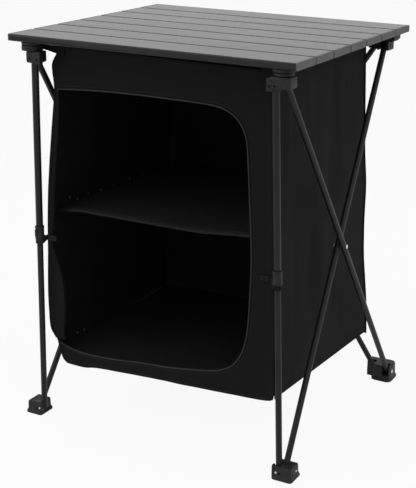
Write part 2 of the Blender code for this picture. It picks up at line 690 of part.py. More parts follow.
# Front panel, cut out for the door, with a strap at each top corner that reaches a bracket
strap_end = SIDE_TOP_X - 10.5 - GAP
outer = []
for i in range(13):
    z = CAB_TOP_LEFT - 20 - i * (CAB_TOP_LEFT - 20 - FLOOR_Z * 1.27) / 12
    outer.append((-left_x(z), z))
outer += [(-left_x(z), z) for z in (FLOOR_Z * 1.165, FLOOR_Z * 1.075, CAB_LOW_LEFT + 8)]
outer.append((-LEFT_TOP_X - 2, CAB_LOW_LEFT))
outer += [(right_x(CAB_LOW_RIGHT) - 4, CAB_LOW_RIGHT - 2), (right_x(CAB_LOW_RIGHT), CAB_LOW_RIGHT + 4)]
outer += [(right_x(CAB_TOP_RIGHT - 24), CAB_TOP_RIGHT - 24), (strap_end, BLOCK_LOW + 8)]
outer += [(strap_end, BLOCK_TOP - 1), (RIGHT_TOP_X - 3, CAB_TOP_RIGHT + 7), (RIGHT_TOP_X - 23, CAB_TOP_RIGHT + 1)]
outer += [(28 - LEFT_TOP_X, CAB_TOP_LEFT - 2), (2 - LEFT_TOP_X, CAB_TOP_LEFT + 3)]
outer += [(-strap_end, BLOCK_TOP - 1), (-strap_end, BLOCK_LOW + 8)]
door = []
for i in range(8):
    z = DOOR_TOP - i * (DOOR_TOP - FLOOR_Z * 1.37) / 7
    door.append((STILE - left_x(z), z))
door += [(STILE + 7 - left_x(FLOOR_Z * 1.178), FLOOR_Z * 1.178), (-LEFT_TOP_X - 2, DOOR_LOW - 4)]
quarter = [math.radians(a) for a in range(0, 91, 15)]
for t in quarter:
    x = DOOR_RIGHT - DOOR_SWEEP_WIDE * (1 - math.sin(t))
    door.append((x, DOOR_LOW + 14 + DOOR_SWEEP_TALL * (1 - math.cos(t))))
for t in quarter:
    door.append((DOOR_RIGHT - DOOR_CORNER * (1 - math.cos(t)), DOOR_TOP - DOOR_CORNER * (1 - math.sin(t))))
y0 = CAB_FRONT_Y - CLOTH / 2
part("panel_front", plate([outer, door], y0, y0 + CLOTH, upright=True), "cloth")


def shifted(outline, grow, closed=True):
    """The outline moved square to itself by a distance."""
    count = len(outline)
    moved = []
    for i, (x, y) in enumerate(outline):
        if closed:
            (ax, ay), (bx, by) = outline[i - 1], outline[(i + 1) % count]
        else:
            (ax, ay), (bx, by) = outline[max(i - 1, 0)], outline[min(i + 1, count - 1)]
        tx, ty = bx - ax, by - ay
        size = math.hypot(tx, ty)
        moved.append((x + grow * ty / size, y - grow * tx / size))
    return moved


y1 = CAB_FRONT_Y - CLOTH / 2 - GAP
trim = plate([shifted(door, 4.4), shifted(door, 0.4)], y1 - PIPING, y1, upright=True)
part("door_piping", trim, "piping")

# Side panels, each with a strap at its top rear corner that reaches a bracket
ROW_HEIGHTS = (0.0, 0.045, 0.11, 0.24, 0.38, 0.53, 0.68, 0.84, 1.0)
COLUMNS = 8
STEP_IN = CLOTH + GAP
SIDE_Y0 = CAB_FRONT_Y + STEP_IN
SIDE_Y1 = CAB_REAR_Y - STEP_IN - 1.0
for word, side in SIDES:
    rows = []
    for v in ROW_HEIGHTS:
        row = []
        for i in range(COLUMNS):
            u = i / (COLUMNS - 1)
            y = SIDE_Y0 + (SIDE_Y1 - SIDE_Y0) * u
            top = (CAB_TOP_LEFT if side < 0 else CAB_TOP_RIGHT) - 9.0 - 8.0 * math.sin(math.pi * u)
            low = (CAB_LOW_LEFT if side < 0 else CAB_LOW_RIGHT) * (1 - u) + CAB_LOW_REAR * u + 5.0
            z = low + (top - low) * v
            row.append((side * side_x(side, y, z), y, z))
        rows.append(row)
    sheet(f"panel_{word}", rows)

# Rear panel, with a strap at each top corner that reaches a rear bracket
rows = []
for v in ROW_HEIGHTS:
    row = []
    for i in range(COLUMNS):
        u = i / (COLUMNS - 1)
        top = CAB_TOP_RIGHT - 8.0 - 8.0 * math.sin(math.pi * u)
        z = CAB_LOW_REAR + (top - CAB_LOW_REAR) * v
        x = (rear_x(z) + 1.0) * (2 * u - 1)
        row.append((x, rear_y(x, z), z))
    rows.append(row)
rear = sheet("panel_rear", rows)
for _, side in SIDES:
    face_y = SIDE_Y - 14.0 - GAP - WEBBING / 2
    path = [(REAR_TOP_X - 4, CAB_REAR_Y), (REAR_TOP_X + 2, CAB_REAR_Y + 0.5)]
    path += [(INNER_TOP_X - 7.4, face_y), (INNER_TOP_X - 0.4, face_y)]
    strap = shifted(path, WEBBING / 2, closed=False) + shifted(path, -WEBBING / 2, closed=False)[::-1]
    union(rear, plate([mirrored(strap, side)], CAB_TOP_RIGHT - 12.0, CAB_TOP_RIGHT + 4.0))


# Shelf and floor: stiffened boards that meet the panels, the shelf with a bead along its front edge
def board(name, z, thick, front_y):
    right = []
    left = []
    for i in range(COLUMNS):
        y = max(SIDE_Y0 + (SIDE_Y1 - SIDE_Y0) * i / (COLUMNS - 1), front_y)
        right.append((side_x(1, y, z) - BOARD_GAP, y))
        left.append((BOARD_GAP - side_x(-1, y, z), y))
    behind = []
    for i in range(COLUMNS):
        x = right[-1][0] + (left[-1][0] - right[-1][0]) * i / (COLUMNS - 1)
        behind.append((x, rear_y(x, z) - BOARD_GAP))
    outline = right[:-1] + behind + left[:-1][::-1]
    return part(name, plate([outline], z - thick / 2, z + thick / 2), "cloth")


shelf = board("shelf", SHELF_Z, SHELF_THICK, CAB_FRONT_Y + 17.0)
bead_y = CAB_FRONT_Y + 16.0
bead_left = (34.0 - left_x(SHELF_Z), bead_y, SHELF_Z)
union(shelf, rod(bead_left, (right_x(SHELF_Z) - 8.0, bead_y, SHELF_Z), SHELF_BEAD_R, 12))
board("floor", FLOOR_Z, SHELF_THICK, CAB_FRONT_Y + STEP_IN)

# Door leaf: gathered along the left edge, pinched at the tab and full below it
BUNDLE = 16
LEAF_TOP = DOOR_TOP - 11.0
LEAF_LOW = FLOOR_Z + SHELF_THICK / 2 + 12.0
rings = []
for j in range(15):
    z = LEAF_TOP - j * (LEAF_TOP - LEAF_LOW) / 14
    low = min(max((COLLAR_Z - 4 - z) / 110.0, 0.0), 1.0)
    end = min(max((z - LEAF_LOW) / 60.0, 0.0), 1.0)
    full = math.sin(low * math.pi / 2) * math.sin(end * math.pi / 2)
    high = min(max((z - COLLAR_Z) / 120.0, 0.0), 1.0)
    half_w = 5.0 + 14.0 * full + 3.0 * high
    half_d = 4.0 + 4.0 * full + 2.0 * high
    cx = 5.5 + half_w - left_x(z)
    cy = CAB_FRONT_Y + CLOTH / 2 + GAP + half_d
    ring = []
    for i in range(BUNDLE):
        t = 2 * math.pi * i / BUNDLE
        lobe = 1.0 - 0.12 * (0.5 - 0.5 * math.sin(5 * t + z * 0.012)) * (1 + math.sin(t)) / 2
        ring.append((cx + half_w * lobe * math.cos(t), cy + half_d * lobe * math.sin(t), z))
    rings.append(ring)
part("door_leaf", loft(rings), "cloth")

# Webbing tabs: each starts on the cabinet's front edge and loops round the collar
for word, side in SIDES:
    leg_x = on_side(side, -LEG_IN, LEG_Y, COLLAR_DOWN)[0] * side
    edge = left_x(COLLAR_Z) if side < 0 else right_x(COLLAR_Z)
    loop_r = COLLAR_R - 1.2 + GAP + WEBBING / 2 + 0.2
    y_face = CAB_FRONT_Y - CLOTH / 2 - GAP - WEBBING / 2
    if side < 0:
        y_face -= PIPING + GAP
    knee = (edge + 1.0, y_face)
    reach = math.hypot(leg_x - knee[0], LEG_Y - knee[1])
    toward = math.atan2(knee[1] - LEG_Y, knee[0] - leg_x)
    opening = math.degrees(math.acos(loop_r / reach))
    first = math.degrees(toward) + opening
    last = math.degrees(toward) + 360 - opening
    path = [(edge - 26.0, y_face), (edge - 12.0, y_face), knee]
    path += arc((leg_x, LEG_Y), loop_r, first, last, 18)
    back = (WEBBING + 0.8) / math.sin(2 * math.radians(90 - opening))
    far = math.hypot(path[-1][0] - knee[0], path[-1][1] - knee[1])
    path += [(knee[0] + (path[-1][0] - knee[0]) * back / far, knee[1] + (path[-1][1] - knee[1]) * back / far)]
    outline = shifted(path, WEBBING / 2, closed=False) + shifted(path, -WEBBING / 2, closed=False)[::-1]
    tab = plate([mirrored(outline, side)], COLLAR_Z - 6.5, COLLAR_Z + 5.0)
    part(f"tab_{word}", tab, "webbing")
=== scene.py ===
# %% [markdown]
# # A camping cupboard
# The object is a folding table with a cloth cupboard hung inside its frame. Seven hollow aluminium
# slats make the top, black steel tubes cross and fold under it, moulded brackets and feet hold
# their ends, and a black polyester cabinet hangs between the four corners.
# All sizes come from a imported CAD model, here called the frame. This script never moves it. It
# gives the rigid parts their finishes, models the front hardware again in finer detail, and sews
# every piece of cloth anew in the place that the frame keeps for it.

# %% Load the frame
import math

import bmesh
import bpy
import numpy as np
from mathutils import Matrix, Vector, noise


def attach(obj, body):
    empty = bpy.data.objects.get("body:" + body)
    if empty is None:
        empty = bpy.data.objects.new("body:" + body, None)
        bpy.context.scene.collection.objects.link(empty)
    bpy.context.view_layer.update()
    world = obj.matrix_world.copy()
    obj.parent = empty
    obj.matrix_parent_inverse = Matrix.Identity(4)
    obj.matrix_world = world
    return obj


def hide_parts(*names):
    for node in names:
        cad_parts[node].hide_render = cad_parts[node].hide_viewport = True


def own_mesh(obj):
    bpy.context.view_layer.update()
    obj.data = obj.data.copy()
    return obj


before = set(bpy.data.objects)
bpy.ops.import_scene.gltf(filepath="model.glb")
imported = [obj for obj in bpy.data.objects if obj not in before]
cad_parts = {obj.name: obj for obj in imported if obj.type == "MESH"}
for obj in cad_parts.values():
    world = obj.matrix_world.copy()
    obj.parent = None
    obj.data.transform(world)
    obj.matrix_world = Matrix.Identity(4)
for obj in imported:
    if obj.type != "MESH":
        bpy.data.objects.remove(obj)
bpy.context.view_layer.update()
MM = 0.001
SIDES = (("left", -1), ("right", 1))

# %% [markdown]
# ## The camera
# The photograph was taken from the front right, a little above the top. The place of the camera was
# worked out from the corners of the top and the ends of the tubes in the picture, so a small roll
# and shift belong to it. Such a fit gives the focal length in pixels. A camera can also be turned
# by eye, but then every size that is read off the picture carries that error.

# %% Camera at the photograph's angle
PHOTO_WIDE, PHOTO_TALL = 416, 488
FOCAL_PIXELS = 1182.8
AXIS_PIXEL = (253.1, 236.5)
CAMERA_PLACE = Vector((1.1279, -2.0352, 1.124))
AZIMUTH, ELEVATION, ROLL = (math.radians(a) for a in (27.23, 18.25, 0.9))

level = Vector((math.cos(AZIMUTH), math.sin(AZIMUTH), 0))
back = Vector(
    (math.sin(AZIMUTH) * math.cos(ELEVATION), -math.cos(AZIMUTH) * math.cos(ELEVATION), math.sin(ELEVATION))
)
upright = back.cross(level)
right = math.cos(ROLL) * level + math.sin(ROLL) * upright
up = -math.sin(ROLL) * level + math.cos(ROLL) * upright

camera_data = bpy.data.cameras.new("camera")
camera_data.sensor_width = 36
camera_data.lens = camera_data.sensor_width * FOCAL_PIXELS / PHOTO_TALL
camera_data.shift_x = (PHOTO_WIDE / 2 - AXIS_PIXEL[0]) / PHOTO_TALL
camera_data.shift_y = (AXIS_PIXEL[1] - PHOTO_TALL / 2) / PHOTO_TALL
camera = bpy.data.objects.new("camera", camera_data)
camera.matrix_world = Matrix.Translation(CAMERA_PLACE) @ Matrix((right, up, back)).transposed().to_4x4()
bpy.context.scene.collection.objects.link(camera)
bpy.context.scene.camera = camera
bpy.context.scene.view_settings.view_transform = "Standard"
print("lens", round(camera_data.lens, 1), "mm")

# %% [markdown]
# ## Small tools
# Materials and seams below are node trees, so a few helpers keep them readable: `put` adds a node
# and fills its sockets, whether with a number or with another node's output. Finished pieces are
# plain meshes at the origin, as the frame's own nodes are. The same trees could be drawn by hand in
# the node editor; written down, they can be read, compared and run again.


# %% Helpers for nodes and meshes
def feed(tree, node, values):
    """Links each node or socket among the values to its input, and sets the input to any other value."""
    for key, value in values.items():
        if isinstance(value, bpy.types.Node):
            value = value.outputs[0]
        if isinstance(value, bpy.types.NodeSocket):
            tree.links.new(value, node.inputs[key])
        else:
            node.inputs[key].default_value = value
    return node


def put(tree, kind, values=None, **settings):
    """Adds a node. A kind of the tree's own family is written short, such as Mix."""
    made = tree.nodes.new(kind if "Node" in kind else tree.bl_idname[:-4] + kind)
    for key, value in settings.items():
        setattr(made, key, value)
    return feed(tree, made, values or {})


def maths(tree, operation, a, b=0):
    return put(tree, "ShaderNodeMath", {0: a, 1: b}, operation=operation)


def times(tree, a, b):
    return maths(tree, "MULTIPLY", a, b)


def ranged(tree, value, low, high, start=0, end=1):
    """The value's place between low and high, as a number from start to end."""
    return put(tree, "MapRange", {0: value, 1: low, 2: high, 3: start, 4: end}, clamp=True)


def mottle(tree, place, scale, detail, **more):
    return put(tree, "TexNoise", {"Vector": place, "Scale": scale, "Detail": detail, **more})


def blend(tree, share, one, other):
    return put(tree, "Mix", {0: share, 6: one, 7: other}, data_type="RGBA").outputs[2]


def new_group(name, takes, gives, family="Shader"):
    """A node group. Each of its sockets has a number, or only the name of its type."""
    tree = bpy.data.node_groups.new(name, family + "NodeTree")
    for direction, sockets in (("INPUT", takes), ("OUTPUT", gives)):
        for label, value in sockets.items():
            word = value if isinstance(value, str) else "Float"
            socket = tree.interface.new_socket(label, in_out=direction, socket_type="NodeSocket" + word)
            if word != value:
                socket.default_value = value
    print("group:", name)
    return tree, tree.nodes.new("NodeGroupInput").outputs, tree.nodes.new("NodeGroupOutput")


def plain_mesh(holder, name):
    """The evaluated shape of an object as a plain mesh; the object goes."""
    bpy.context.view_layer.update()
    graph = bpy.context.evaluated_depsgraph_get()
    mesh = bpy.data.meshes.new_from_object(
        holder.evaluated_get(graph), preserve_all_data_layers=True, depsgraph=graph
    )
    bpy.data.objects.remove(holder, do_unlink=True)
    mesh.name = name
    return mesh


def new_mesh(name, points, edges=(), faces=()):
    mesh = bpy.data.meshes.new(name)
    mesh.from_pydata(points, edges, faces)
    return mesh


def placed(name, mesh):
    made = bpy.data.objects.new(name, mesh)
    bpy.context.scene.collection.objects.link(made)
    return made


# %% [markdown]
# ## Floor, backdrop and light
# A shop photograph of a black object stands on white. The floor is one large sheet that the camera
# sees as nearly white, and it keeps a soft shadow. Glossy faces see it white as well, but only near
# the object. The light is plain: a wide softbox overhead, a weaker one on each side, and an even
# world. A picture of a studio wrapped round the scene could light it too, but lamps can be moved
# one by one, and black cloth shows every change.

# %% Studio
FLOOR_HALF = 14
WORLD_LIGHT = 0.42
WHITE = (1, 1, 1, 1)
GLOW_NEAR, GLOW_FAR = 4, 5.4
PAPER_GLOW = 0.93

world = bpy.data.worlds.new("studio")
bpy.context.scene.world = world
paper = bpy.data.materials.new("white_paper")
for holder in (world, paper):
    holder.use_nodes = True
    holder.node_tree.nodes.clear()

tree = world.node_tree
rays = put(tree, "LightPath").outputs
even = put(tree, "Background", {"Color": WHITE, "Strength": WORLD_LIGHT})
white = put(tree, "Background", {"Color": WHITE, "Strength": 1})
seen = maths(tree, "MAXIMUM", rays["Is Camera Ray"], rays["Is Glossy Ray"])
put(tree, "OutputWorld", {"Surface": put(tree, "MixShader", {0: seen, 1: even, 2: white})})

tree = paper.node_tree
rays = put(tree, "LightPath").outputs
place = put(tree, "TexCoord").outputs["Object"]
tooth = put(tree, "Bump", {"Height": mottle(tree, place, 900, 2), "Strength": 0.05, "Distance": 0.0002})
matt = put(tree, "BsdfDiffuse", {"Color": (0.86, 0.86, 0.86, 1), "Normal": tooth})
glow = put(tree, "Emission", {"Color": WHITE, "Strength": 1})
far = put(tree, "VectorMath", {0: place}, operation="LENGTH").outputs["Value"]
mirrored = times(tree, rays["Is Glossy Ray"], ranged(tree, far, GLOW_NEAR, GLOW_FAR, 1, 0.2))
share = times(tree, maths(tree, "MAXIMUM", rays["Is Camera Ray"], mirrored), PAPER_GLOW)
put(tree, "OutputMaterial", {"Surface": put(tree, "MixShader", {0: share, 1: matt, 2: glow})})

corners = [(x * FLOOR_HALF, y * FLOOR_HALF, 0) for x, y in ((-1, -1), (1, -1), (1, 1), (-1, 1))]
floor_mesh = new_mesh("floor_paper", corners, faces=[(0, 1, 2, 3)])
floor_mesh.materials.append(paper)
placed("floor_paper", floor_mesh)


def softbox(name, place, target, size, power):
    data = bpy.data.lights.new(name, "AREA")
    data.shape = "RECTANGLE"
    data.size, data.size_y = size
    data.energy = power
    lamp = placed(name, data)
    way = Vector(target) - Vector(place)
    lamp.matrix_world = Matrix.Translation(place) @ way.to_track_quat("-Z", "Y").to_matrix().to_4x4()
    lamp.visible_camera = False


softbox("overhead", (-0.1, -0.7, 2.5), (0, 0, 0.5), (2.6, 2), 24)
softbox("right_side", (2.4, 0.5, 1.3), (0.2, 0, 0.45), (1.2, 1.8), 5.5)
softbox("left_front", (-1.6, -2.2, 1.3), (0, 0, 0.45), (1.4, 1.8), 10)

# %% [markdown]
# ## Effects that several finishes share
# A weave, a fine grain and a worn edge are each built once as a shader node group. A plain weave is
# two sets of round threads that pass over each other in turn: the height of a thread is a sine, and
# a checker says which of the two lies on top. The edge wear compares the true normal with one that
# a Bevel node has rounded: they differ only near an edge. Pictures of cloth could be laid on
# instead, but they repeat, and they blur close up, while a formula stays sharp.

# %% Weave group
PATTERN = {"Height": "Float", "Tone": "Float"}
takes = {"Place": "Vector", "Thread Pitch": 0.0008, "Unevenness": 0.35}
weave, take, give = new_group("plain_weave", takes, PATTERN)
count = maths(weave, "DIVIDE", 1, take["Thread Pitch"])
threads = put(weave, "VectorMath", {0: take["Place"], "Scale": count}, operation="SCALE")
split = put(weave, "SeparateXYZ", {0: threads}).outputs
warp, weft = (
    maths(weave, "ABSOLUTE", maths(weave, "SINE", times(weave, split[axis], math.pi))) for axis in "XY"
)
flat = put(weave, "CombineXYZ", {"X": split["X"], "Y": split["Y"], "Z": 0.5})
over = put(weave, "TexChecker", {"Vector": flat, "Scale": 1}).outputs["Fac"]
lift = put(weave, "Mix", {0: over, 2: warp, 3: weft})
slub = mottle(weave, threads, 0.11, 3, Roughness=0.6)
mixed = put(weave, "Mix", {0: 0.55, 2: slub, 3: mottle(weave, take["Place"], 9, 4)})
# Painted light and shade: the tone is darker in the gaps between threads and lighter on their tops.
painted_gap_shade = times(weave, maths(weave, "SUBTRACT", lift, 0.7), 0.35)
uneven = times(weave, slub, take["Unevenness"])
feed(weave, give, {"Height": maths(weave, "ADD", lift, uneven), "Tone": maths(weave, "ADD", mixed, painted_gap_shade)})

# %% Grain group
grain, take, give = new_group("fine_grain", {"Place": "Vector", "Grain Size": 0.0005, "Patch Size": 0.04}, PATTERN)
fine, patch = (
    mottle(grain, take["Place"], maths(grain, "DIVIDE", 1, take[size]), detail)
    for size, detail in (("Grain Size", 2), ("Patch Size", 5))
)
feed(grain, give, {"Height": fine, "Tone": put(grain, "Mix", {0: 0.7, 2: fine, 3: patch})})

# %% Worn edge group
takes = {"Place": "Vector", "Edge Width": 0.0008, "Amount": 0.5}
wear, take, give = new_group("worn_edge", takes, {"Mask": "Float", "Soft Normal": "Vector"})
rounded = put(wear, "Bevel", {"Radius": take["Edge Width"]}, samples=4)
facet = put(wear, "NewGeometry").outputs["True Normal"]
apart = put(wear, "VectorMath", {0: rounded, 1: facet}, operation="DOT_PRODUCT").outputs["Value"]
near = ranged(wear, maths(wear, "SUBTRACT", 1, apart), 0.06, 0.3)
spots = ranged(wear, mottle(wear, take["Place"], 160, 4), 0.42, 0.62)
rubbed = times(wear, times(wear, near, spots), take["Amount"])
feed(wear, give, {"Mask": rubbed, "Soft Normal": rounded})

# %% [markdown]
# ## Finishes of the rigid parts
# The slats are aluminium with a dark satin coat, drawn along their length: dark from the front,
# pale at a low angle, where the coat mirrors the white room. The tubes are powder coated steel,
# which has an orange-peel surface. Brackets, feet and end caps are moulded nylon with a fine
# spark-eroded grain. Each could have a tree of its own, but they differ only in numbers, so one
# function makes them all.


# %% A function for hard finishes
def new_finish(name, coordinates):
    """A material, its tree and the coordinates that its pattern is laid on."""
    made = bpy.data.materials.new(name)
    made.use_nodes = True
    return made, made.node_tree, put(made.node_tree, "TexCoord").outputs[coordinates]


def tinted(tree, tone, dark, light):
    """A colour that goes from dark to light as the tone goes from low to high."""
    return blend(tree, ranged(tree, tone, 0.3, 0.7), (*dark, 1), (*light, 1))


def send(tree, pattern, depth, colour, roughness, swing, numbers, **under):
    """Sends a pattern's tone and height to the shader, with the finish's own numbers."""
    gloss = ranged(tree, pattern.outputs["Tone"], 0.3, 0.7, roughness - swing, roughness + swing)
    relief = {"Height": pattern.outputs["Height"], "Strength": 1, "Distance": depth, **under}
    bump = put(tree, "Bump", relief)
    numbers.update({"Base Color": colour, "Roughness": gloss, "Normal": bump})
    feed(tree, tree.nodes["Principled BSDF"], numbers)


def hard_finish(
    name, dark, light, worn, roughness, grain_size, grain_depth, metallic=0, stretch=(1, 1, 1),
    edge_width=0.0008, wear_amount=0.35, patch_size=0.04, specular=0.5, ior=1.5, coat=0, coat_roughness=0.2,
):
    made, tree, place = new_finish(name, "Object")
    drawn = put(tree, "Mapping", {"Vector": place, "Scale": stretch})
    sizes = {"Place": drawn, "Grain Size": grain_size, "Patch Size": patch_size}
    grains = put(tree, "Group", sizes, node_tree=grain)
    rub = {"Place": place, "Edge Width": edge_width, "Amount": wear_amount}
    edges = put(tree, "Group", rub, node_tree=wear).outputs
    body = tinted(tree, grains.outputs["Tone"], dark, light)
    colour = blend(tree, edges["Mask"], body, (*worn, 1))
    numbers = {
        "Metallic": metallic, "Specular IOR Level": specular, "IOR": ior, "Coat IOR": ior,
        "Coat Weight": coat, "Coat Roughness": coat_roughness,
    }
    send(tree, grains, grain_depth, colour, roughness, 0.06, numbers, Normal=edges["Soft Normal"])
    return made


# %% The hard finishes
slat_satin = hard_finish(
    "satin_aluminium", (0.003, 0.003, 0.0035), (0.034, 0.034, 0.036), (0.05, 0.05, 0.052),
    roughness=0.26, grain_size=0.0009, grain_depth=0.00002, stretch=(0.02, 1, 1), patch_size=0.006,
    edge_width=0.0026, wear_amount=0.2, ior=1.23, coat=0.2, coat_roughness=0.22,
)
cap_nylon = hard_finish(
    "end_cap_nylon", (0.022, 0.022, 0.023), (0.11, 0.111, 0.114), (0.15, 0.15, 0.155),
    roughness=0.52, grain_size=0.0011, grain_depth=0.00012, patch_size=0.006, edge_width=0.0009,
)
powder_coat = hard_finish(
    "black_powder_coat", (0.0095, 0.0095, 0.0105), (0.015, 0.015, 0.016), (0.045, 0.045, 0.047),
    roughness=0.42, grain_size=0.0016, grain_depth=0.00006, edge_width=0.0012, wear_amount=0.25, specular=0.2,
)
moulded_nylon = hard_finish(
    "moulded_black_nylon", (0.012, 0.012, 0.013), (0.022, 0.022, 0.023), (0.07, 0.07, 0.072),
    roughness=0.48, grain_size=0.0007, grain_depth=0.00008, patch_size=0.02, edge_width=0.001, specular=0.18,
)
rivet_steel, stud_nickel = (
    hard_finish(
        *look, roughness=roughness, grain_size=0.0004, grain_depth=0.00002, metallic=1,
        patch_size=0.003, edge_width=0.0004,
    )
    for roughness, *look in (
        (0.28, "plated_rivet_steel", (0.38, 0.38, 0.39), (0.62, 0.62, 0.63), (0.78, 0.78, 0.78)),
        (0.35, "dark_stud_nickel", (0.14, 0.14, 0.145), (0.3, 0.3, 0.305), (0.5, 0.5, 0.5)),
    )
)
# Painted shade: a near-black finish with no reflection, for discs that stand for the shade in each hole and gap.
painted_hole_shade = hard_finish(
    "hole_shadow", (0.001, 0.001, 0.001), (0.003, 0.003, 0.003), (0.005, 0.005, 0.005),
    roughness=0.8, grain_size=0.0006, grain_depth=0.00002, wear_amount=0, specular=0,
)
print("finishes:", [m.name for m in bpy.data.materials])

# %% [markdown]
# ## Dressing and rounding the rigid nodes
# The slats, tubes and feet could be modelled again, but the frame's rigid nodes already have the
# right shape, so they stay and only change their material. Extruded slats and moulded feet have no
# knife edges: a Weld joins each node's triangles, a Bevel rounds its edges, a small tree smooths
# what is left by angle, and a Weighted Normal lets the large faces stay flat. They are modifiers,
# so the node's own mesh stays as it came.

# %% Finish, round and smooth the nodes
smooth_tree, take, give = new_group(
    "smooth_by_angle", {"Part": "Geometry", "Largest Angle": 0.62}, {"Part": "Geometry"}, "Geometry"
)
bend = put(smooth_tree, "InputMeshEdgeAngle")
crisp = put(smooth_tree, "FunctionNodeCompare", {0: bend, 1: take["Largest Angle"]}, operation="GREATER_THAN")
faces = put(smooth_tree, "SetShadeSmooth", {0: take["Part"], "Shade Smooth": True})
sharp = {0: faces, "Selection": crisp, "Shade Smooth": False}
feed(smooth_tree, give, {0: put(smooth_tree, "SetShadeSmooth", sharp, domain="EDGE")})

# The start of a node's name, its finish and the width of its rounded edges in millimetres
NODE_LOOKS = (
    ("slat_cap", cap_nylon, 1.2),
    ("slat", slat_satin, 1.2),
    ("cup", moulded_nylon, 0.8),
    ("bracket", moulded_nylon, 1),
    ("foot", moulded_nylon, 1.2),
    ("collar", moulded_nylon, 0.5),
    ("tube", powder_coat, 0),
    ("leg", powder_coat, 0),
    ("rivet", rivet_steel, 0.3),
    ("lean_pin", rivet_steel, 0.3),
)


def add_bevel(holder, name, width, angle):
    bevel = holder.modifiers.new(name, "BEVEL")
    bevel.width, bevel.segments = width * MM, 3
    bevel.limit_method, bevel.angle_limit = "ANGLE", math.radians(angle)


def round_edges(node, width):
    node.modifiers.new("weld", "WELD").merge_threshold = 2e-6
    if width:
        add_bevel(node, "round", width, 38)
    node.modifiers.new("smooth", "NODES").node_group = smooth_tree
    if width:
        even = node.modifiers.new("flat_faces", "WEIGHTED_NORMAL")
        even.keep_sharp, even.weight = True, 90


for node_name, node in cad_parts.items():
    finish, width = next((look[1:] for look in NODE_LOOKS if node_name.startswith(look[0])), (None, None))
    if finish:
        for slot in node.material_slots:
            slot.material = finish
        round_edges(node, width)
print("rounded nodes:", sum(bool(n.modifiers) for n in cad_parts.values()))

# %% [markdown]
# ## Cloth finishes
# The cabinet is black polyester canvas. It reflects very little, but its threads catch light at a
# low angle, which the sheen stands for. The weave is read from each piece's UV map, which is laid
# out in metres, so the threads run with the cloth. Webbing is the same idea with thick ribs. The
# piping is a tighter, slightly shinier tape, and the shelf's welt a duller one. One flat black
# would be simpler, but it looks like plastic.


# %% Woven finishes and thread
def woven_finish(name, dark, light, pitch, depth, roughness, sheen):
    made, tree, place = new_finish(name, "UV")
    cloth = put(tree, "Group", {"Place": place, "Thread Pitch": pitch}, node_tree=weave)
    numbers = {"Sheen Weight": sheen, "Sheen Roughness": 0.5, "Specular IOR Level": 0.08}
    send(tree, cloth, depth, tinted(tree, cloth.outputs["Tone"], dark, light), roughness, 0.07, numbers)
    return made


canvas, webbing, piping_tape, welt_tape = (
    woven_finish(*look)
    for look in (
        ("black_canvas", (0.0065, 0.0065, 0.0069), (0.0103, 0.0103, 0.0108), 0.0009, 0.00012, 0.8, 0.01),
        ("black_webbing", (0.017, 0.017, 0.0185), (0.034, 0.034, 0.036), 0.0016, 0.0003, 0.62, 0.03),
        ("piping_tape", (0.03, 0.03, 0.031), (0.05, 0.05, 0.052), 0.0007, 0.0001, 0.45, 0.03),
        ("welt_tape", (0.012, 0.012, 0.0125), (0.02, 0.02, 0.021), 0.0009, 0.0002, 0.6, 0.02),
    )
)
thread = hard_finish(
    "sewing_thread", (0.02, 0.02, 0.021), (0.036, 0.036, 0.038), (0.05, 0.05, 0.05),
    roughness=0.6, grain_size=0.0002, grain_depth=0.00005, patch_size=0.003, edge_width=0.0002,
)
print("cloth finishes:", [look.name for look in (canvas, webbing, piping_tape, welt_tape, thread)])

# %% [markdown]
# ## The cabinet's shape
# The cabinet isn't a box. Its front left edge swells outwards below the top and tucks in under the
# floor board, the right one leans out evenly, and the rear edges lean and bulge a little. These
# curves carry every panel, board and seam. They are written in millimetres, as a pattern cutter
# would have them. A box could be sculpted to the same shape, but then each seam would have to be
# matched to it by hand.

# %% Edges of the cabinet
CLOTH = 1.1
FRONT_Y, REAR_Y = -229, 204
TOP_Z = 745
LOW_LEFT, LOW_RIGHT, LOW_REAR = 113, 136, 118
RIGHT_X, BACK_X = 229, 226
RIGHT_LEAN, BACK_LEAN = 20, 22
BOARD_HOLD = 26
SHELF_Z, FLOOR_Z, BOARD_THICK = 448, 146, 4

# Each pair is a height and a distance out, as the photograph shows them. The left edge has a neck
# under the top, a puff below it, a long swell, and the tuck at the floor board.
LEFT_EDGE = (
    (108, 233), (119, 235.5), (131, 241), (145, 245), (161, 246.5), (174, 256.5), (184, 262), (197, 263.6),
    (263, 264.4), (349, 263), (423, 260.5), (475, 257), (537, 250.5), (597, 243), (657, 235), (691, 230.5),
    (708, 234), (723, 238), (738, 232), (749, 221), (765, 219),
)
REAR_BULGE = ((118, 8.5), (190, 8), (245, 4), (299, 0), (377, 0.5), (455, 4.5), (520, 0.5), (611, 0), (745, 0))


def smoothed(table, steps):
    """A function that reads a table of (height, value), as the mean at a few heights."""
    heights, values = (np.array(column, float) for column in zip(*table))
    return lambda z: float(np.mean([np.interp(z + step, heights, values) for step in steps]))


left_x = smoothed(LEFT_EDGE, (-7, -3.5, 0, 3.5, 7))
rear_bulge = smoothed(REAR_BULGE, (-20, -10, 0, 10, 20))


def right_x(z):
    return RIGHT_X + RIGHT_LEAN * (TOP_Z - z) / (TOP_Z - LOW_RIGHT)


def front_x(side, z):
    return left_x(z) if side < 0 else right_x(z)


def rear_x(z):
    return BACK_X + BACK_LEAN * (TOP_Z - z) / (TOP_Z - LOW_REAR) + rear_bulge(z)


def share_of(value, start, end):
    return min(max((value - start) / (end - start), 0), 1)


def bow(share):
    return math.sin(math.pi * share)


def drift(x, y, z):
    """Perlin noise, from -1 to 1."""
    return noise.noise(Vector((x, y, z)))


def calm(z):
    """Nothing where a board holds the cloth, and one well away from it."""
    return 1 - max(math.exp(-(((z - board) / BOARD_HOLD) ** 2)) for board in (SHELF_Z, FLOOR_Z))


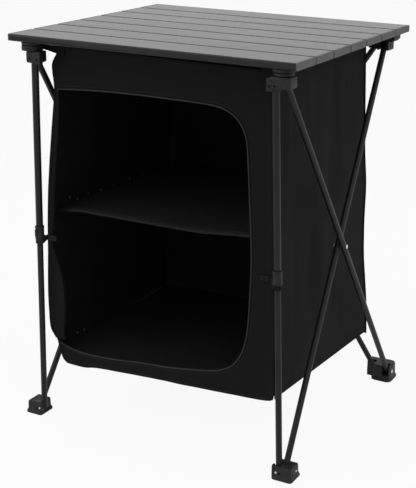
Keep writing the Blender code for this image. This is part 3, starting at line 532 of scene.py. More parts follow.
def soft_folds(along, z, seed):
    """Long upright folds that drift and fade, from -1 to 1."""
    off = 26 * drift(along / 150, z / 260, seed)
    wide = drift((along + off) / 62, z / 420, seed + 7)
    narrow = drift((along - off) / 26, z / 190, seed + 19)
    return 1.35 * wide + 0.45 * narrow


print("front left edge at shelf height:", round(left_x(SHELF_Z), 1), "mm out")

# %% [markdown]
# ## How cloth is laid
# A panel is a grid of points. Its UV map is measured along the rows and columns, so a metre of map
# is a metre of cloth. The Solidify modifier gives it its thickness, to both sides of the grid, and
# closes the rim. A cloth simulation could drape the panels, but it is hard to steer towards a
# photograph, so the folds are small moves of the grid's points.


# %% Functions that lay cloth
def map_out(mesh, uv):
    """Gives each vertex its place on the UV map, in metres."""
    index = np.zeros(len(mesh.loops), np.int32)
    mesh.loops.foreach_get("vertex_index", index)
    layer = mesh.uv_layers.get("UVMap") or mesh.uv_layers.new(name="UVMap")
    layer.data.foreach_set("uv", uv[index].astype(np.float32).ravel())


def cloth_piece(name, rows, finish, thick=CLOTH, flat_uv=None, closed=False):
    """A sheet through rows of points in millimetres, as a closed mesh with its weave laid out."""
    grid = np.asarray(rows, float) * MM
    count, wide = grid.shape[:2]
    faces = [
        (r * wide + c, r * wide + (c + 1) % wide, (r + 1) * wide + (c + 1) % wide, (r + 1) * wide + c)
        for r in range(count - 1)
        for c in range(wide if closed else wide - 1)
    ]
    mesh = new_mesh(name, grid.reshape(-1, 3).tolist(), faces=faces)
    if flat_uv is None:
        across = np.linalg.norm(np.diff(grid, axis=1), axis=2).mean(axis=0)
        down = np.linalg.norm(np.diff(grid, axis=0), axis=2).mean(axis=1)
        u, v = (np.concatenate([[0], np.cumsum(step)]) for step in (across, down))
        uv = np.stack(np.meshgrid(u, v), axis=2).reshape(-1, 2)
    else:
        uv = np.asarray(flat_uv, float).reshape(-1, 2) * MM
    map_out(mesh, uv)
    mesh.materials.append(finish)
    holder = placed(name + "_cut", mesh)
    solid = holder.modifiers.new("thickness", "SOLIDIFY")
    solid.thickness, solid.offset = thick * MM, 0
    made = placed(name, plain_mesh(holder, name))
    made.data.shade_smooth()
    made.data.set_sharp_from_angle(angle=math.radians(50))
    print(name, "area:", round(sum(face.area for face in mesh.polygons), 3), "m2")
    return made


def evenly(path, count):
    """The same path with evenly spaced points."""
    path = np.asarray(path, float)
    run = np.concatenate([[0], np.cumsum(np.linalg.norm(np.diff(path, axis=0), axis=1))])
    at = np.linspace(0, run[-1], count)
    return np.stack([np.interp(at, run, path[:, k]) for k in range(path.shape[1])], axis=1)


# %% [markdown]
# ## Front panel
# The front panel is a frame of cloth round the door. Its grid runs like the rows of a collar: the
# innermost row is the door's cut edge, the outermost is the panel's own edge, and the rows between
# them follow both. The two hems are a doubled cloth, so they stand a little proud. A hole cut in a
# plain sheet with a Boolean would be quicker, but it leaves uneven faces just where the hems are.

# %% Cut lines of the front panel
stile_wide = smoothed(((370, 7), (405, 8), (450, 9), (540, 9), (600, 9), (680, 8)), (0,))
FRONT_TOP_LEFT, FRONT_TOP_RIGHT = 763, 758
DOOR_BOTTOM = (
    (-243.5, 160.5), (-235, 155.5), (-216, 149), (-192, 145.5), (-167, 144.3), (-143, 145.2), (-119, 146.3),
    (-94.6, 148.3), (-47, 154), (-1, 157), (22, 158.4), (45, 162), (89.4, 168), (122, 174.5), (143, 182.3),
    (157.5, 192.5),
)
DOOR_RIGHT = (
    (157.5, 192.5), (169.5, 207.3), (177.8, 223), (183.8, 242), (187.7, 261), (190.4, 290), (193.2, 340),
    (195, 400), (193.8, 440), (191.7, 487), (189.6, 517), (187.6, 554), (185.4, 590), (183, 622), (179.6, 638),
    (174.2, 651), (167.4, 661), (158.5, 669.5),
)
DOOR_TOP = (
    (158.5, 669.5), (146, 677.4), (127.4, 683), (99, 685.4), (58, 685.8), (16, 686), (-27, 686.4), (-70, 685.8),
    (-115, 685), (-160, 683), (-206, 679.4), (-221.5, 678),
)
PANEL_BOTTOM = (
    (-225, 110.3), (-195, 109.3), (-177, 110.3), (-160, 115), (-130, 117.2), (-97, 119), (-50, 121.6), (-3, 124),
    (43, 124.5), (88, 127), (132, 129), (175, 131), (218, 132.7), (239, 135.5), (245.5, 139),
)
door_left = [(stile_wide(z) - left_x(z), z) for z in np.linspace(660, 190, 40)]
door_left = [DOOR_TOP[-1], *door_left, (-249, 174), DOOR_BOTTOM[0]]
panel_left = [*((-left_x(z), z) for z in np.linspace(FRONT_TOP_LEFT, 117, 60)), PANEL_BOTTOM[0]]
panel_right = [PANEL_BOTTOM[-1], (right_x(150), 150), (RIGHT_X, TOP_Z), (RIGHT_X - 0.5, FRONT_TOP_RIGHT)]


def softened(points, rounds=2):
    """A path with its corners cut, its ends kept."""
    path = np.asarray(points, float)
    for _ in range(rounds):
        a, b = path[:-1], path[1:]
        cut = np.empty((2 * len(a), path.shape[1]))
        cut[0::2], cut[1::2] = 0.75 * a + 0.25 * b, 0.25 * a + 0.75 * b
        path = np.concatenate([path[:1], cut[1:-1], path[-1:]])
    return path


def ring(*sides):
    """One closed line from its left, bottom, right and top."""
    return np.concatenate([evenly(side, n + 1)[:-1] for side, n in zip(sides, (100, 80, 90, 64))])


door_line = ring(softened(door_left, 1), softened(DOOR_BOTTOM), softened(DOOR_RIGHT), softened(DOOR_TOP))
panel_line = ring(
    softened(panel_left, 1), softened(PANEL_BOTTOM), softened(panel_right, 1), [panel_right[-1], panel_left[0]]
)
print("door opening:", round(np.ptp(door_line[:, 0])), "x", round(np.ptp(door_line[:, 1])), "mm")


# %% Sew the front panel
def front_y(x, z):
    """The middle of the front cloth: flat at the door and the leg side, softly waved between."""
    to_edge = min(abs(x + left_x(z)), abs(right_x(z) - x)) / 40
    wave = 0.8 * drift(x / 85, z / 60, 3) + 0.4 * drift(x / 30, z / 45, 5)
    pull = 0.5 * math.sin((x + z) / 17) * share_of(z, 650, 740) * share_of(abs(x), 120, 220)
    low = 0.5 * math.sin((x * 0.7 - z) / 11) * share_of(z, 230, 150) * share_of(x, -120, -220)
    return FRONT_Y + (wave + pull + low) * min(to_edge, 1)


def spread_rows(inner, outer, hem, rows):
    """Rows from one line to another, with a hem's width kept at both."""
    step = np.minimum(hem / np.linalg.norm(outer - inner, axis=1, keepdims=True), 0.22)
    shares = [0 * step, step * 0.5, step, step * 1.12]
    shares += [step * 1.12 + (1 - 2.24 * step) * m for m in np.linspace(0, 1, rows)[1:-1]]
    shares += [1 - 1.12 * step, 1 - step, 1 - 0.5 * step, 1 + 0 * step]
    return [inner + (outer - inner) * s for s in shares]


HEM, HEM_RISE = 8, 0.45
lines = spread_rows(door_line, panel_line, HEM, 8)
front_rows = []
for number, line in enumerate(lines):
    rise = HEM_RISE if number < 3 or number > len(lines) - 4 else 0
    front_rows.append([(x, front_y(x, z) - rise, z) for x, z in line])
front_cloth = cloth_piece("front_cloth", front_rows, canvas, flat_uv=lines, closed=True)

# %% [markdown]
# ## Side and rear panels
# Each side panel hangs from its top edge and is held by the two boards. Between them the cloth has
# a little to spare, so it makes long upright folds, which die away at every seam and board. The
# folds are a noise that is stretched upright: it needs no simulation and comes out the same on each
# run.

# %% Surfaces of the hanging panels
SIDE_Y0, SIDE_Y1 = FRONT_Y + 2.1, REAR_Y - 3.1
SIDE_TOP_LEFT, SIDE_TOP_RIGHT = 761, 758
FOLD_IN, FOLD_OUT = 3, 1.3
PANEL_ROWS = sorted({*np.linspace(0, 1, 90), 0.0155, 0.0165, 0.9835, 0.9845})
PANEL_HEM, PANEL_HEM_RISE = 0.016, 0.35


def hang(u, v, turns):
    return 1.5 * math.sin(u * turns + v * 2.2) * bow(v) * bow(u)


def fold_depth(raw, u, v, z):
    """Folds go further in than out, and not at all at a seam or a board."""
    depth = raw * (FOLD_OUT if raw < 0 else FOLD_IN)
    ends = min(1, 7 * u, 7 * (1 - u)) * min(1, 9 * v, 14 * (1 - v))
    return depth * ends * calm(z)


def side_x(side, y, z, folds=True):
    u, v = share_of(y, SIDE_Y0, SIDE_Y1), share_of(z, LOW_REAR, TOP_Z)
    middle = front_x(side, z) * (1 - u) + rear_x(z) * u - 1.2 - hang(u, v, 9)
    return middle - fold_depth(soft_folds(y, z, 30 + side), u, v, z) if folds else middle


def rear_y(x, z, folds=True):
    u, v = share_of(x / rear_x(z), -1, 1), share_of(z, LOW_REAR, TOP_Z)
    middle = REAR_Y + hang(u, v, 8)
    return middle - fold_depth(soft_folds(x, z, 50), u, v, z) if folds else middle


def with_hem(v):
    """How far the doubled cloth at a panel's lower and upper edge stands out."""
    return PANEL_HEM_RISE if v < PANEL_HEM or v > 1 - PANEL_HEM else 0


def side_point(side, u, v):
    y = SIDE_Y0 + (SIDE_Y1 - SIDE_Y0) * u
    top = (SIDE_TOP_LEFT if side < 0 else SIDE_TOP_RIGHT) - 4 * bow(u)
    low = (LOW_LEFT if side < 0 else LOW_RIGHT) * (1 - u) + LOW_REAR * u + 5
    z = low + (top - low) * v
    return side * (side_x(side, y, z) + with_hem(v)), y, z


def rear_point(u, v):
    top = TOP_Z + 8 - 9 * bow(u)
    z = LOW_REAR + (top - LOW_REAR) * v
    x = (rear_x(z) + 1) * (2 * u - 1)
    return x, rear_y(x, z) + with_hem(v), z


side_rows = {
    word: [[side_point(side, u, v) for u in np.linspace(0, 1, 60)] for v in PANEL_ROWS] for word, side in SIDES
}
rear_rows = [[rear_point(u, v) for u in np.linspace(0, 1, 64)] for v in PANEL_ROWS]
side_cloth = {word: cloth_piece(f"side_cloth_{word}", rows, canvas) for word, rows in side_rows.items()}
rear_cloth = cloth_piece("rear_cloth", rear_rows, canvas)

# %% [markdown]
# ## Shelf and floor
# Both are stiff boards in a cloth cover. The cover is a closed shell round the board's outline, a
# little hollow in the middle, where it sags, and lower at its left end. Its rim is rounded. A
# scaled cube would do for a board, but it couldn't follow the curved walls.

# %% Board covers
BOARD_GAP = 2


def eased(share):
    return share * share * (3 - 2 * share)


def board_cover(name, front_edge, height, sag, drop):
    """The rows of a board's cover, from its left edge to its right, and the cover itself."""
    rows = []
    for v in np.linspace(0, 1, 34):
        rows.append([])
        for u in np.linspace(0, 1, 44):
            y = front_edge + (SIDE_Y1 - front_edge) * v
            low = BOARD_GAP - side_x(-1, y, height, folds=False)
            high = side_x(1, y, height, folds=False) - BOARD_GAP
            x = low + (high - low) * u
            back_edge = rear_y(x, height, folds=False) - BOARD_GAP
            y = front_edge + (back_edge - front_edge) * v
            edge = min(u, 1 - u, v, 1 - v) * 2
            puckers = 0.25 * drift(x / 16, y / 16, height) * (1 - edge)
            lower = drop * eased(share_of(x, 195, 55)) + drop * eased(share_of(x, -188, -262))
            z = height - lower - sag * bow(u) * bow(v) + puckers
            rows[-1].append((x, y, z))
    cover = cloth_piece(name, rows, canvas, thick=BOARD_THICK - 0.4)
    holder = placed(name + "_round", cover.data.copy())
    add_bevel(holder, "rim", 1.3, 60)
    cover.data = plain_mesh(holder, name)
    cover.data.shade_smooth()
    return rows, cover


shelf_rows, shelf_cover = board_cover("shelf_cover", FRONT_Y + 18, SHELF_Z, sag=1.6, drop=9.5)
_, floor_cover = board_cover("floor_cover", FRONT_Y + 2.2, FLOOR_Z, sag=0.8, drop=5.5)

# %% [markdown]
# ## Gathered door
# The door is unzipped and pushed to the left, in front of the narrow stile. It hangs there in
# pleats, pinched by the webbing loop and fuller below. In plan each height of the cloth is a wave
# that runs from the stile inwards; the wave's width and depth change with the height. A simulated
# leaf would have truer creases, but the photograph shows an exact outline, and a wave can be given
# it.

# %% Pleats of the door
LAYERS = 5
LEAF_TOP, LEAF_LOW = 678, 167
LEAF_WIDTH = (
    (167, 23), (179, 30), (194, 36), (216, 39.5), (244, 42), (272, 40.5), (298, 36.5), (319, 30.5), (337, 22.5),
    (352, 16), (363, 11.8), (380, 10.5), (395, 12), (420, 14), (480, 15.3), (600, 15.3), (650, 12), (678, 8.5),
)
leaf_wide = smoothed(LEAF_WIDTH, (-8, -4, 0, 4, 8))
leaf_rows = []
for z in np.linspace(LEAF_TOP, LEAF_LOW, 90):
    wide = leaf_wide(z)
    deep = 3 + 0.2 * wide
    start, front = 5.2 - left_x(z), FRONT_Y - 1.8 - deep
    gap = deep / (LAYERS - 1)
    row = []
    for layer in range(LAYERS):
        left, right = start + gap / 2, start + wide - gap / 2 - 0.5 * layer
        y = front + gap * layer
        way = 1 if layer % 2 == 0 else -1
        for x in np.linspace(left, right, 16)[::way]:
            place = Vector((x / 5.2, z / 120, 11 + layer))
            streak = 0.55 * noise.noise(place) + 0.3 * noise.noise(place * 2.1)
            row.append((x, y + 1.1 * streak * bow(share_of(x, left, right)), z))
        if layer < LAYERS - 1:
            turn_x = row[-1][0]
            for t in np.radians((30, 60, 90, 120, 150)):
                row.append((turn_x + way * gap / 2 * math.sin(t), y + gap / 2 * (1 - math.cos(t)), z))
    leaf_rows.append(row)
door_pleats = cloth_piece("door_pleats", leaf_rows, canvas, thick=0.6)

# %% [markdown]
# ## Webbing and corners
# Two loops of webbing tie the cabinet's front edges to the legs: each is sewn to the front, runs
# round the leg below its collar and comes back. The cabinet's four upper corners are drawn out as
# strips of canvas, up to the brackets. A strip keeps its width, so each is a path in plan, swept
# upright. A curve with a flat profile could do the same, but it tips over in tight bends.

# %% A function for upright strips
LEG_X, LEG_Y = 252.4, -259
LEG_TOP, LEG_FALL = 748, 734
STRAP_Z = 380
LOOP_R = 7.7


def strap(name, path, low, high, finish, rise=0):
    """A strip along a path of (x, y) in millimetres, between two heights, higher at its far end."""
    line = evenly(path, max(12, 2 * len(path)))
    shares = np.linspace(0, 1, len(line))
    rows = [
        [(x, y, low + rise * t + (high - low - rise * t) * v) for (x, y), t in zip(line, shares)]
        for v in np.linspace(0, 1, 7)
    ]
    return cloth_piece(name, rows, finish, thick=1.2)


def leg_x(side, z):
    """How far out the middle of a front leg is at a height, as the photograph shows it."""
    return LEG_X + (24 if side > 0 else 13.5) * (LEG_TOP - z) / LEG_FALL


def loop_face(side):
    """Where the webbing lies on the front: the left loop goes over the gathered door."""
    return FRONT_Y - 1.8 - (6.4 if side < 0 else 0)


# %% Cut the loops and the corners
webbing_loops, corner_straps = {}, {}
for word, side in SIDES:
    edge, face = front_x(side, STRAP_Z), loop_face(side)
    knee, leg = np.array((edge - 3, face)), np.array((leg_x(side, STRAP_Z), LEG_Y))
    toward = math.atan2(*(knee - leg)[::-1])
    opening = math.acos(LOOP_R / np.linalg.norm(leg - knee))
    angles = np.linspace(toward + opening, toward + 2 * math.pi - opening, 30)
    round_leg = leg + LOOP_R * np.stack([np.cos(angles), np.sin(angles)], axis=1)
    way_back = round_leg[-1] - knee
    end = knee + way_back * 2 / math.sin(2 * opening) / np.linalg.norm(way_back)
    path = np.array([(edge - 26, face), (edge - 12, face), knee, *round_leg, end]) * (side, 1)
    # Painted light and shade: both loops are the same webbing, but the left one gets the lighter webbing colour, a
    # painted highlight, and the right one the darker canvas, a painted shade.
    lit_left_shaded_right_tape = webbing if side < 0 else canvas
    webbing_loops[word] = strap(f"webbing_loop_{word}", path, STRAP_Z - 6, STRAP_Z + 5, lit_left_shaded_right_tape)

for word, side in SIDES:
    start = left_x(749) if side < 0 else RIGHT_X
    front_path = ((start - 18, FRONT_Y - 1.9), (start - 2, FRONT_Y - 1.5), (240, -230.5), (256.5, -233))
    rear_path = ((BACK_X - 6, REAR_Y + 1.4), (BACK_X + 2, REAR_Y + 2.2), (245, 227), (252, 227.1))
    for end, path, *heights in (("front", front_path, 744, 767, 11), ("rear", rear_path, 741, 755, 6)):
        path, (low, high, rise) = [(side * x, y) for x, y in path], heights
        corner_straps[end, word] = strap(f"corner_strap_{end}_{word}", path, low, high, canvas, rise)

# %% [markdown]
# ## Piping, welts and seams
# What follows a path is made by Geometry Nodes: one tree turns a path into a round cord of piping,
# another lays stitches along a seam, a third sets round heads. Each tree takes its sizes as named
# inputs and ends in real geometry, because instances are lost in the export. Copies along a curve
# could be set by hand, but a tree redraws them all when a path or a size changes.


# %% Piping tree
def give_out(tree, give, geometry, finish, smooth=True):
    real = put(tree, "RealizeInstances", {0: geometry})
    if smooth:
        real = put(tree, "SetShadeSmooth", {0: real})
    feed(tree, give, {0: put(tree, "SetMaterial", {0: real, "Material": finish})})


def walked(tree, path, step):
    """A path of edges as a curve with evenly spaced points."""
    curve = put(tree, "MeshToCurve", {0: path})
    return put(tree, "ResampleCurve", {"Curve": curve, "Length": step}, mode="LENGTH")


takes = {"Path": "Geometry", "Radius": 0.0014, "Spacing": 0.004, "Finish": "Material"}
piping_tree, take, give = new_group("piping", takes, {"Piping": "Geometry"}, "Geometry")
along = walked(piping_tree, take["Path"], take["Spacing"])
circle = put(piping_tree, "CurvePrimitiveCircle", {"Resolution": 10, "Radius": take["Radius"]})
swept = put(piping_tree, "CurveToMesh", {"Curve": along, "Profile Curve": circle, "Fill Caps": True})
give_out(piping_tree, give, swept, take["Finish"])

# %% Stitch tree
takes = {"Seam": "Geometry", "Pitch": 0.0045, "Stitch Length": 0.0034, "Thread Width": 0.0007, "Thread": "Material"}
stitch_tree, take, give = new_group("stitches", takes, {"Stitches": "Geometry"}, "Geometry")
along = walked(stitch_tree, take["Seam"], take["Pitch"])
bead = put(stitch_tree, "MeshUVSphere", {"Segments": 6, "Rings": 4, "Radius": 0.5})
width = take["Thread Width"]
size = put(stitch_tree, "ShaderNodeCombineXYZ", {"X": take["Stitch Length"], "Y": width, "Z": width})
one = put(stitch_tree, "Transform", {"Geometry": bead, "Scale": size})
tangent = put(stitch_tree, "InputTangent")
turn = put(stitch_tree, "FunctionNodeAlignRotationToVector", {"Vector": tangent}, axis="X")
vary = put(stitch_tree, "FunctionNodeRandomValue", {2: 0.86, 3: 1.06, "Seed": 4}, data_type="FLOAT")
many = {"Points": along, "Instance": one, "Rotation": turn, "Scale": vary.outputs[1]}
give_out(stitch_tree, give, put(stitch_tree, "InstanceOnPoints", many), take["Thread"])

# %% Stud tree
takes = {"Places": "Geometry", "Radius": 0.0045, "Rise": 0.0016, "Finish": "Material"}
stud_tree, take, give = new_group("round_heads", takes, {"Heads": "Geometry"}, "Geometry")
top = times(stud_tree, take["Radius"], 0.86)
thick = times(stud_tree, take["Rise"], 0.45)
sizes = {"Vertices": 20, "Radius Top": top, "Radius Bottom": take["Radius"], "Depth": thick}
flange = put(stud_tree, "MeshCone", sizes)
dome = put(stud_tree, "MeshUVSphere", {"Segments": 16, "Rings": 8, "Radius": 1})
wide = times(stud_tree, take["Radius"], 0.72)
size = put(stud_tree, "ShaderNodeCombineXYZ", {"X": wide, "Y": wide, "Z": take["Rise"]})
cap = put(stud_tree, "Transform", {"Geometry": dome, "Scale": size})
head = put(stud_tree, "JoinGeometry", {0: flange})
feed(stud_tree, head, {0: cap})
way = put(stud_tree, "InputNamedAttribute", {"Name": "way"}, data_type="FLOAT_VECTOR")
turn = put(stud_tree, "FunctionNodeAlignRotationToVector", {"Vector": way}, axis="Z")
many = put(stud_tree, "InstanceOnPoints", {"Points": take["Places"], "Instance": head, "Rotation": turn})
give_out(stud_tree, give, many, take["Finish"], smooth=False)


# %% Functions that run a tree
def grown(name, mesh, tree, **values):
    """Runs a tree on a mesh and keeps the result as a plain mesh, with a UV map for its weave."""
    holder = placed(name + "_source", mesh)
    modifier = holder.modifiers.new("tree", "NODES")
    modifier.node_group = tree
    for item in tree.interface.items_tree:
        label = item.name.replace(" ", "_").lower()
        if item.in_out == "INPUT" and label in values:
            modifier[item.identifier] = values[label]
    made = plain_mesh(holder, name)
    spots = np.zeros(len(made.vertices) * 3, np.float32)
    made.vertices.foreach_get("co", spots)
    x, y, z = spots.reshape(-1, 3).T
    map_out(made, np.stack([x + y, z], axis=1))
    return placed(name, made)


def line_mesh(name, lines, closed):
    """Paths in millimetres as one mesh of edges."""
    points, edges = [], []
    for line in lines:
        first = len(points)
        points += [tuple(float(c) * MM for c in p) for p in line]
        edges += [(i, i + 1) for i in range(first, len(points) - 1)]
        if closed:
            edges.append((len(points) - 1, first))
    return new_mesh(name, points, edges)


def cord(name, lines, radius, finish, closed=False):
    return grown(name, line_mesh(name, lines, closed), piping_tree, radius=radius * MM, finish=finish)


def sewn(name, seams, width=0.6):
    return grown(name, line_mesh(name, seams, False), stitch_tree, thread=thread, thread_width=width * MM)


# %% [markdown]
# ## Piping and beads
# The door's edge is bound with piping, which catches a thin line of light all round. The shelf has
# a fat welt along its front edge, and the cabinet's upright corners a bead in their seams. Painted
# lines would be cheaper, but only a round cord has a highlight that moves with the light.

# %% Cords
PIPE_R = 1.35


def moved_out(line, distance):
    """A closed line in the front's plane, moved square to itself."""
    way = np.roll(line, -1, axis=0) - np.roll(line, 1, axis=0)
    way /= np.linalg.norm(way, axis=1, keepdims=True)
    return line + distance * np.stack([way[:, 1], -way[:, 0]], axis=1)


sign = 1 if np.abs(moved_out(door_line, 1)).sum() > np.abs(door_line).sum() else -1
pipe_line = moved_out(door_line, 2.4 * sign)
pipe_path = [(x, front_y(x, z) - CLOTH / 2 - HEM_RISE - PIPE_R - 0.1, z) for x, z in pipe_line]
door_bead = cord("door_bead", [pipe_path], PIPE_R, piping_tape, closed=True)
welt_line = [(x, FRONT_Y + 16, z) for x, _, z in shelf_rows[0] if x > 34 - left_x(SHELF_Z)]
shelf_welt = cord("shelf_welt", [welt_line], 3, welt_tape)

corner_lines = {"front": [], "rear": []}
for side, low, high in ((-1, 123, 758), (1, 141, 755)):
    heights = np.linspace(low, high, 60)
    corner_lines["front"].append([(side * (front_x(side, z) + 0.1), FRONT_Y + 1.6, z) for z in heights])
    heights = np.linspace(LOW_REAR + 4, TOP_Z + 4, 60)
    corner_lines["rear"].append([(side * (rear_x(z) + 0.6), REAR_Y - 1.6, z) for z in heights])
corner_beads = {end: cord(f"corner_bead_{end}", lines, 1.2, canvas) for end, lines in corner_lines.items()}
print("cords:", [o.name for o in (door_bead, shelf_welt, *corner_beads.values())])

# %% [markdown]
# ## Stitches
# Every hem has a row of stitches, and each strap end is sewn down with a box. A texture could draw
# them, but small beads of thread catch the light and can be looked at from close by.


# %% Rows of stitches
def hem_seams(rows, lift, axis):
    """Seams along the hems at both ends of a panel's grid, lifted off the cloth along one axis."""
    seams = np.array([rows[2], rows[-3]], float)
    seams[:, :, axis] += lift
    return seams


def box_seam(x0, x1, z0, z1, y):
    return [(x0, y, z0), (x1, y, z0), (x1, y, z1), (x0, y, z1), (x0, y, z0), (x1, y, z1), (x1, y, z0), (x0, y, z1)]


half = CLOTH / 2 + 0.15
stitch_line = moved_out(door_line, 7.9 * sign)
wide_enough = np.linalg.norm(panel_line - door_line, axis=1) > 14
stitch_path = [
    (x, front_y(x, z) - CLOTH / 2 - HEM_RISE - 0.1, z) for (x, z), ok in zip(stitch_line, wide_enough) if ok
]
front_low = sorted(((x, front_y(x, z) - half - HEM_RISE, z) for x, z in lines[-3] if z < 160), key=lambda p: p[0])
front_seams = [stitch_path[: len(stitch_path) // 2], stitch_path[len(stitch_path) // 2 :], front_low]
for word, side in SIDES:
    x0, x1 = (side * (front_x(side, STRAP_Z) - inward) for inward in (24, 11))
    front_seams.append(box_seam(x0, x1, STRAP_Z - 4.2, STRAP_Z + 3.2, loop_face(side) - 0.75))
front_stitches = sewn("front_stitches", front_seams)
side_stitches = {
    word: sewn(f"side_stitches_{word}", hem_seams(side_rows[word], side * half, 0)) for word, side in SIDES
}
rear_stitches = sewn("rear_stitches", hem_seams(rear_rows, half, 1))
shelf_seam = [(x, y + 9, z + BOARD_THICK / 2) for x, y, z in shelf_rows[0]]
shelf_stitches = sewn("shelf_stitches", [shelf_seam], width=0.7)
print("stitch faces:", len(front_stitches.data.polygons))

# %% [markdown]
# ## Front brackets, cups, legs and feet
# The front hardware is what the eye meets first, so it is modelled again in more detail: each
# moulding is lofted through rounded rings, from its outside, over its rim and down into the pocket
# that takes the tubes. A bracket is a body with a lobe round the side tube and a flat ear towards
# the cabinet; a cup is a turned disc with a groove; a foot flares out to its sole. A leg is a
# sleeve over a thinner tube, with a collar and its lever where the two telescope. Boxes and
# cylinders joined by Booleans would give the same outlines with hard seams, while lofts keep the
# edges soft and the faces even.


# %% Loft a moulding
def round_ring(centre, half, radius, z, per_corner=7):
    """A rectangle with round corners, as points in millimetres."""
    (cx, cy), (hx, hy) = centre, half
    radius = min(radius, hx - 0.01, hy - 0.01)
    points = []
    for number, (sx, sy) in enumerate(((1, 1), (-1, 1), (-1, -1), (1, -1))):
        for t in np.radians(np.linspace(0, 90, per_corner) + 90 * number):
            x = cx + sx * (hx - radius) + radius * math.cos(t)
            y = cy + sy * (hy - radius) + radius * math.sin(t)
            points.append((x, y, z))
    return points


def loft(bm, rings):
    """A closed skin through rings of equal length, capped at both ends."""
    made = [[bm.verts.new([c * MM for c in p]) for p in ring_points] for ring_points in rings]
    skin = [bm.faces.new(list(reversed(made[0]))), bm.faces.new(made[-1])]
    for low, high in zip(made[:-1], made[1:]):
        for i in range(len(low)):
            j = (i + 1) % len(low)
            skin.append(bm.faces.new((low[i], low[j], high[j], high[i])))
    bmesh.ops.recalc_face_normals(bm, faces=skin)


def moulded(name, skins, finish):
    """One mesh from several skins, each a list of rings."""
    bm = bmesh.new()
    for rings in skins:
        loft(bm, rings)
    bmesh.ops.triangulate(bm, faces=[f for f in bm.faces if len(f.verts) > 4])
    mesh = bpy.data.meshes.new(name)
    bm.to_mesh(mesh)
    bm.free()
    mesh.materials.append(finish)
    mesh.shade_smooth()
    mesh.set_sharp_from_angle(angle=math.radians(42))
    return placed(name, mesh)


def moulding(name, side, *lofts):
    """One mesh from several lofts. Each is x out, y, half sizes, corner radius, (inset, z) steps and a drop."""
    skins = [
        [
            round_ring((side * x, y), (wide - inset, deep - inset), max(radius - inset, 0.6), z - drop)
            for inset, z in steps
        ]
        for x, y, wide, deep, radius, steps, drop in lofts
    ]
    return moulded(name, skins, moulded_nylon)


def round_bar(name, side, steps, finish, *more):
    """A front leg's tube or ring, from (radius, height) steps along the leg's own line."""
    rings = [round_ring((side * leg_x(side, z), LEG_Y), (r, r), r, z, per_corner=8) for r, z in steps]
    return moulded(name, [rings, *more], finish)


# %% Profiles of the mouldings, as (inset, z), and of the legs, as (radius, z)
BODY = (
    (4, 744), (3.6, 737.4), (2.4, 736.6), (0.7, 737.6), (0, 739.6), (0, 755.4), (0.6, 756.8), (2, 757.4),
)
LOBE = (
    (3.4, 741), (3, 734.4), (1.6, 733.8), (0.4, 734.6), (0, 736.2), (0, 752.6), (0.8, 754.6), (2.6, 755.6),
)
EAR = ((1.2, 731.2), (0.3, 731.8), (0, 733), (0, 752.6), (0.5, 754.2), (1.8, 755))
SOCKET = ((3, 738), (2.6, 733.4), (1.4, 732.8), (0.3, 733.4), (0, 735), (0.4, 740))
RIM = ((3.6, 765.2), (0.7, 765.6), (0, 766.4), (0, 769.8), (0.5, 770.8), (1.6, 771.2))
NECK = ((6, 758), (3.4, 758.2), (2.4, 759), (2.2, 763), (3, 763.8), (3.6, 764.4))
SKIRT = ((2, 754.4), (0.4, 754.8), (0, 755.8), (0, 763.4), (0.8, 764.2), (1, 764.6))
SOLE = (
    (0.9, 0.2), (0.1, 1.2), (0, 3.8), (0.7, 5.2), (2.6, 7.4), (3.3, 11), (3.6, 21.5), (4.1, 24.4),
    (5.2, 26.2), (6.8, 26.8), (8, 26.5), (13, 25.6),
)
RIB = ((0.8, 5), (0, 6), (0.2, 27), (0.9, 29), (1.8, 29.6))
SLEEVE = ((6.9, 747), (6.9, 394.6), (6.7, 394.2), (6.35, 394.2), (6.2, 394.6), (6.2, 745))
LOWER_TUBE = ((5.5, 586), (6, 585.4), (6, 14))
BAND = (
    (6.6, 384), (8.7, 383.4), (9.2, 384), (9.2, 387.6), (8.7, 388.2), (8.7, 404.6), (9.2, 405.2), (9.2, 408.8),
    (8.7, 409.4), (7, 409.4),
)
LEVER = ((1.6, 1.2, 389.6), (2.6, 2.2, 390.4), (2.6, 2.2, 402.6), (1.6, 1.4, 403.6))
print("steps in a profile:", len(BODY), "for a bracket,", len(SOLE), "for a foot")

# %% The front mouldings
hardware = {}
for word, side, body_x, body_half, drop, ear_x, cup_x, cup_foot, foot_x, foot_half in (
    ("left", -1, 252.3, 13.6, 4, 238.6, 261.5, SKIRT, 283.4, 19.9),
    ("right", 1, 264.5, 20, 0, 246, 264.5, NECK, 287.4, 21.8),
):
    hardware[f"bracket_front_{word}"] = moulding(
        f"bracket_shell_front_{word}",
        side,
        (body_x, -254.8, body_half, 16.2, 5, BODY, drop),
        (264.5, -239.5, 10.4, 10.4, 10, LOBE, drop / 2),
        (ear_x, -265.6, 6.2, 5.4, 1.8, EAR, 0),
        (LEG_X, LEG_Y, 10.6, 9.9, 8, SOCKET, 0),
    )
    cup = (cup_x, -253.5, 20.3, 20.3, 20.2, cup_foot + RIM, 0)
    hardware[f"cup_front_{word}"] = moulding(f"cup_disc_front_{word}", side, cup)
    foot = (foot_x, -252.8, foot_half, 21.6, 6.5, SOLE, 0)
    rib = (foot_x - foot_half + 3, -267.3, 2.4, 4.4, 1.2, RIB, 0)
    hardware[f"foot_front_{word}"] = moulding(f"foot_shell_front_{word}", side, foot, rib)
    hardware[f"leg_upper_{word}"] = round_bar(f"leg_sleeve_{word}", side, SLEEVE, powder_coat)
    hardware[f"leg_lower_{word}"] = round_bar(f"leg_tube_{word}", side, LOWER_TUBE, powder_coat)
    lever_at = (side * (leg_x(side, 397) + 2), LEG_Y - 8.6)
    lever = [round_ring(lever_at, (wide, deep), 1.2, z) for wide, deep, z in LEVER]
    hardware[f"collar_{word}"] = round_bar(f"leg_collar_{word}", side, BAND, moulded_nylon, lever)
print("mouldings:", {n: len(o.data.polygons) for n, o in hardware.items()})
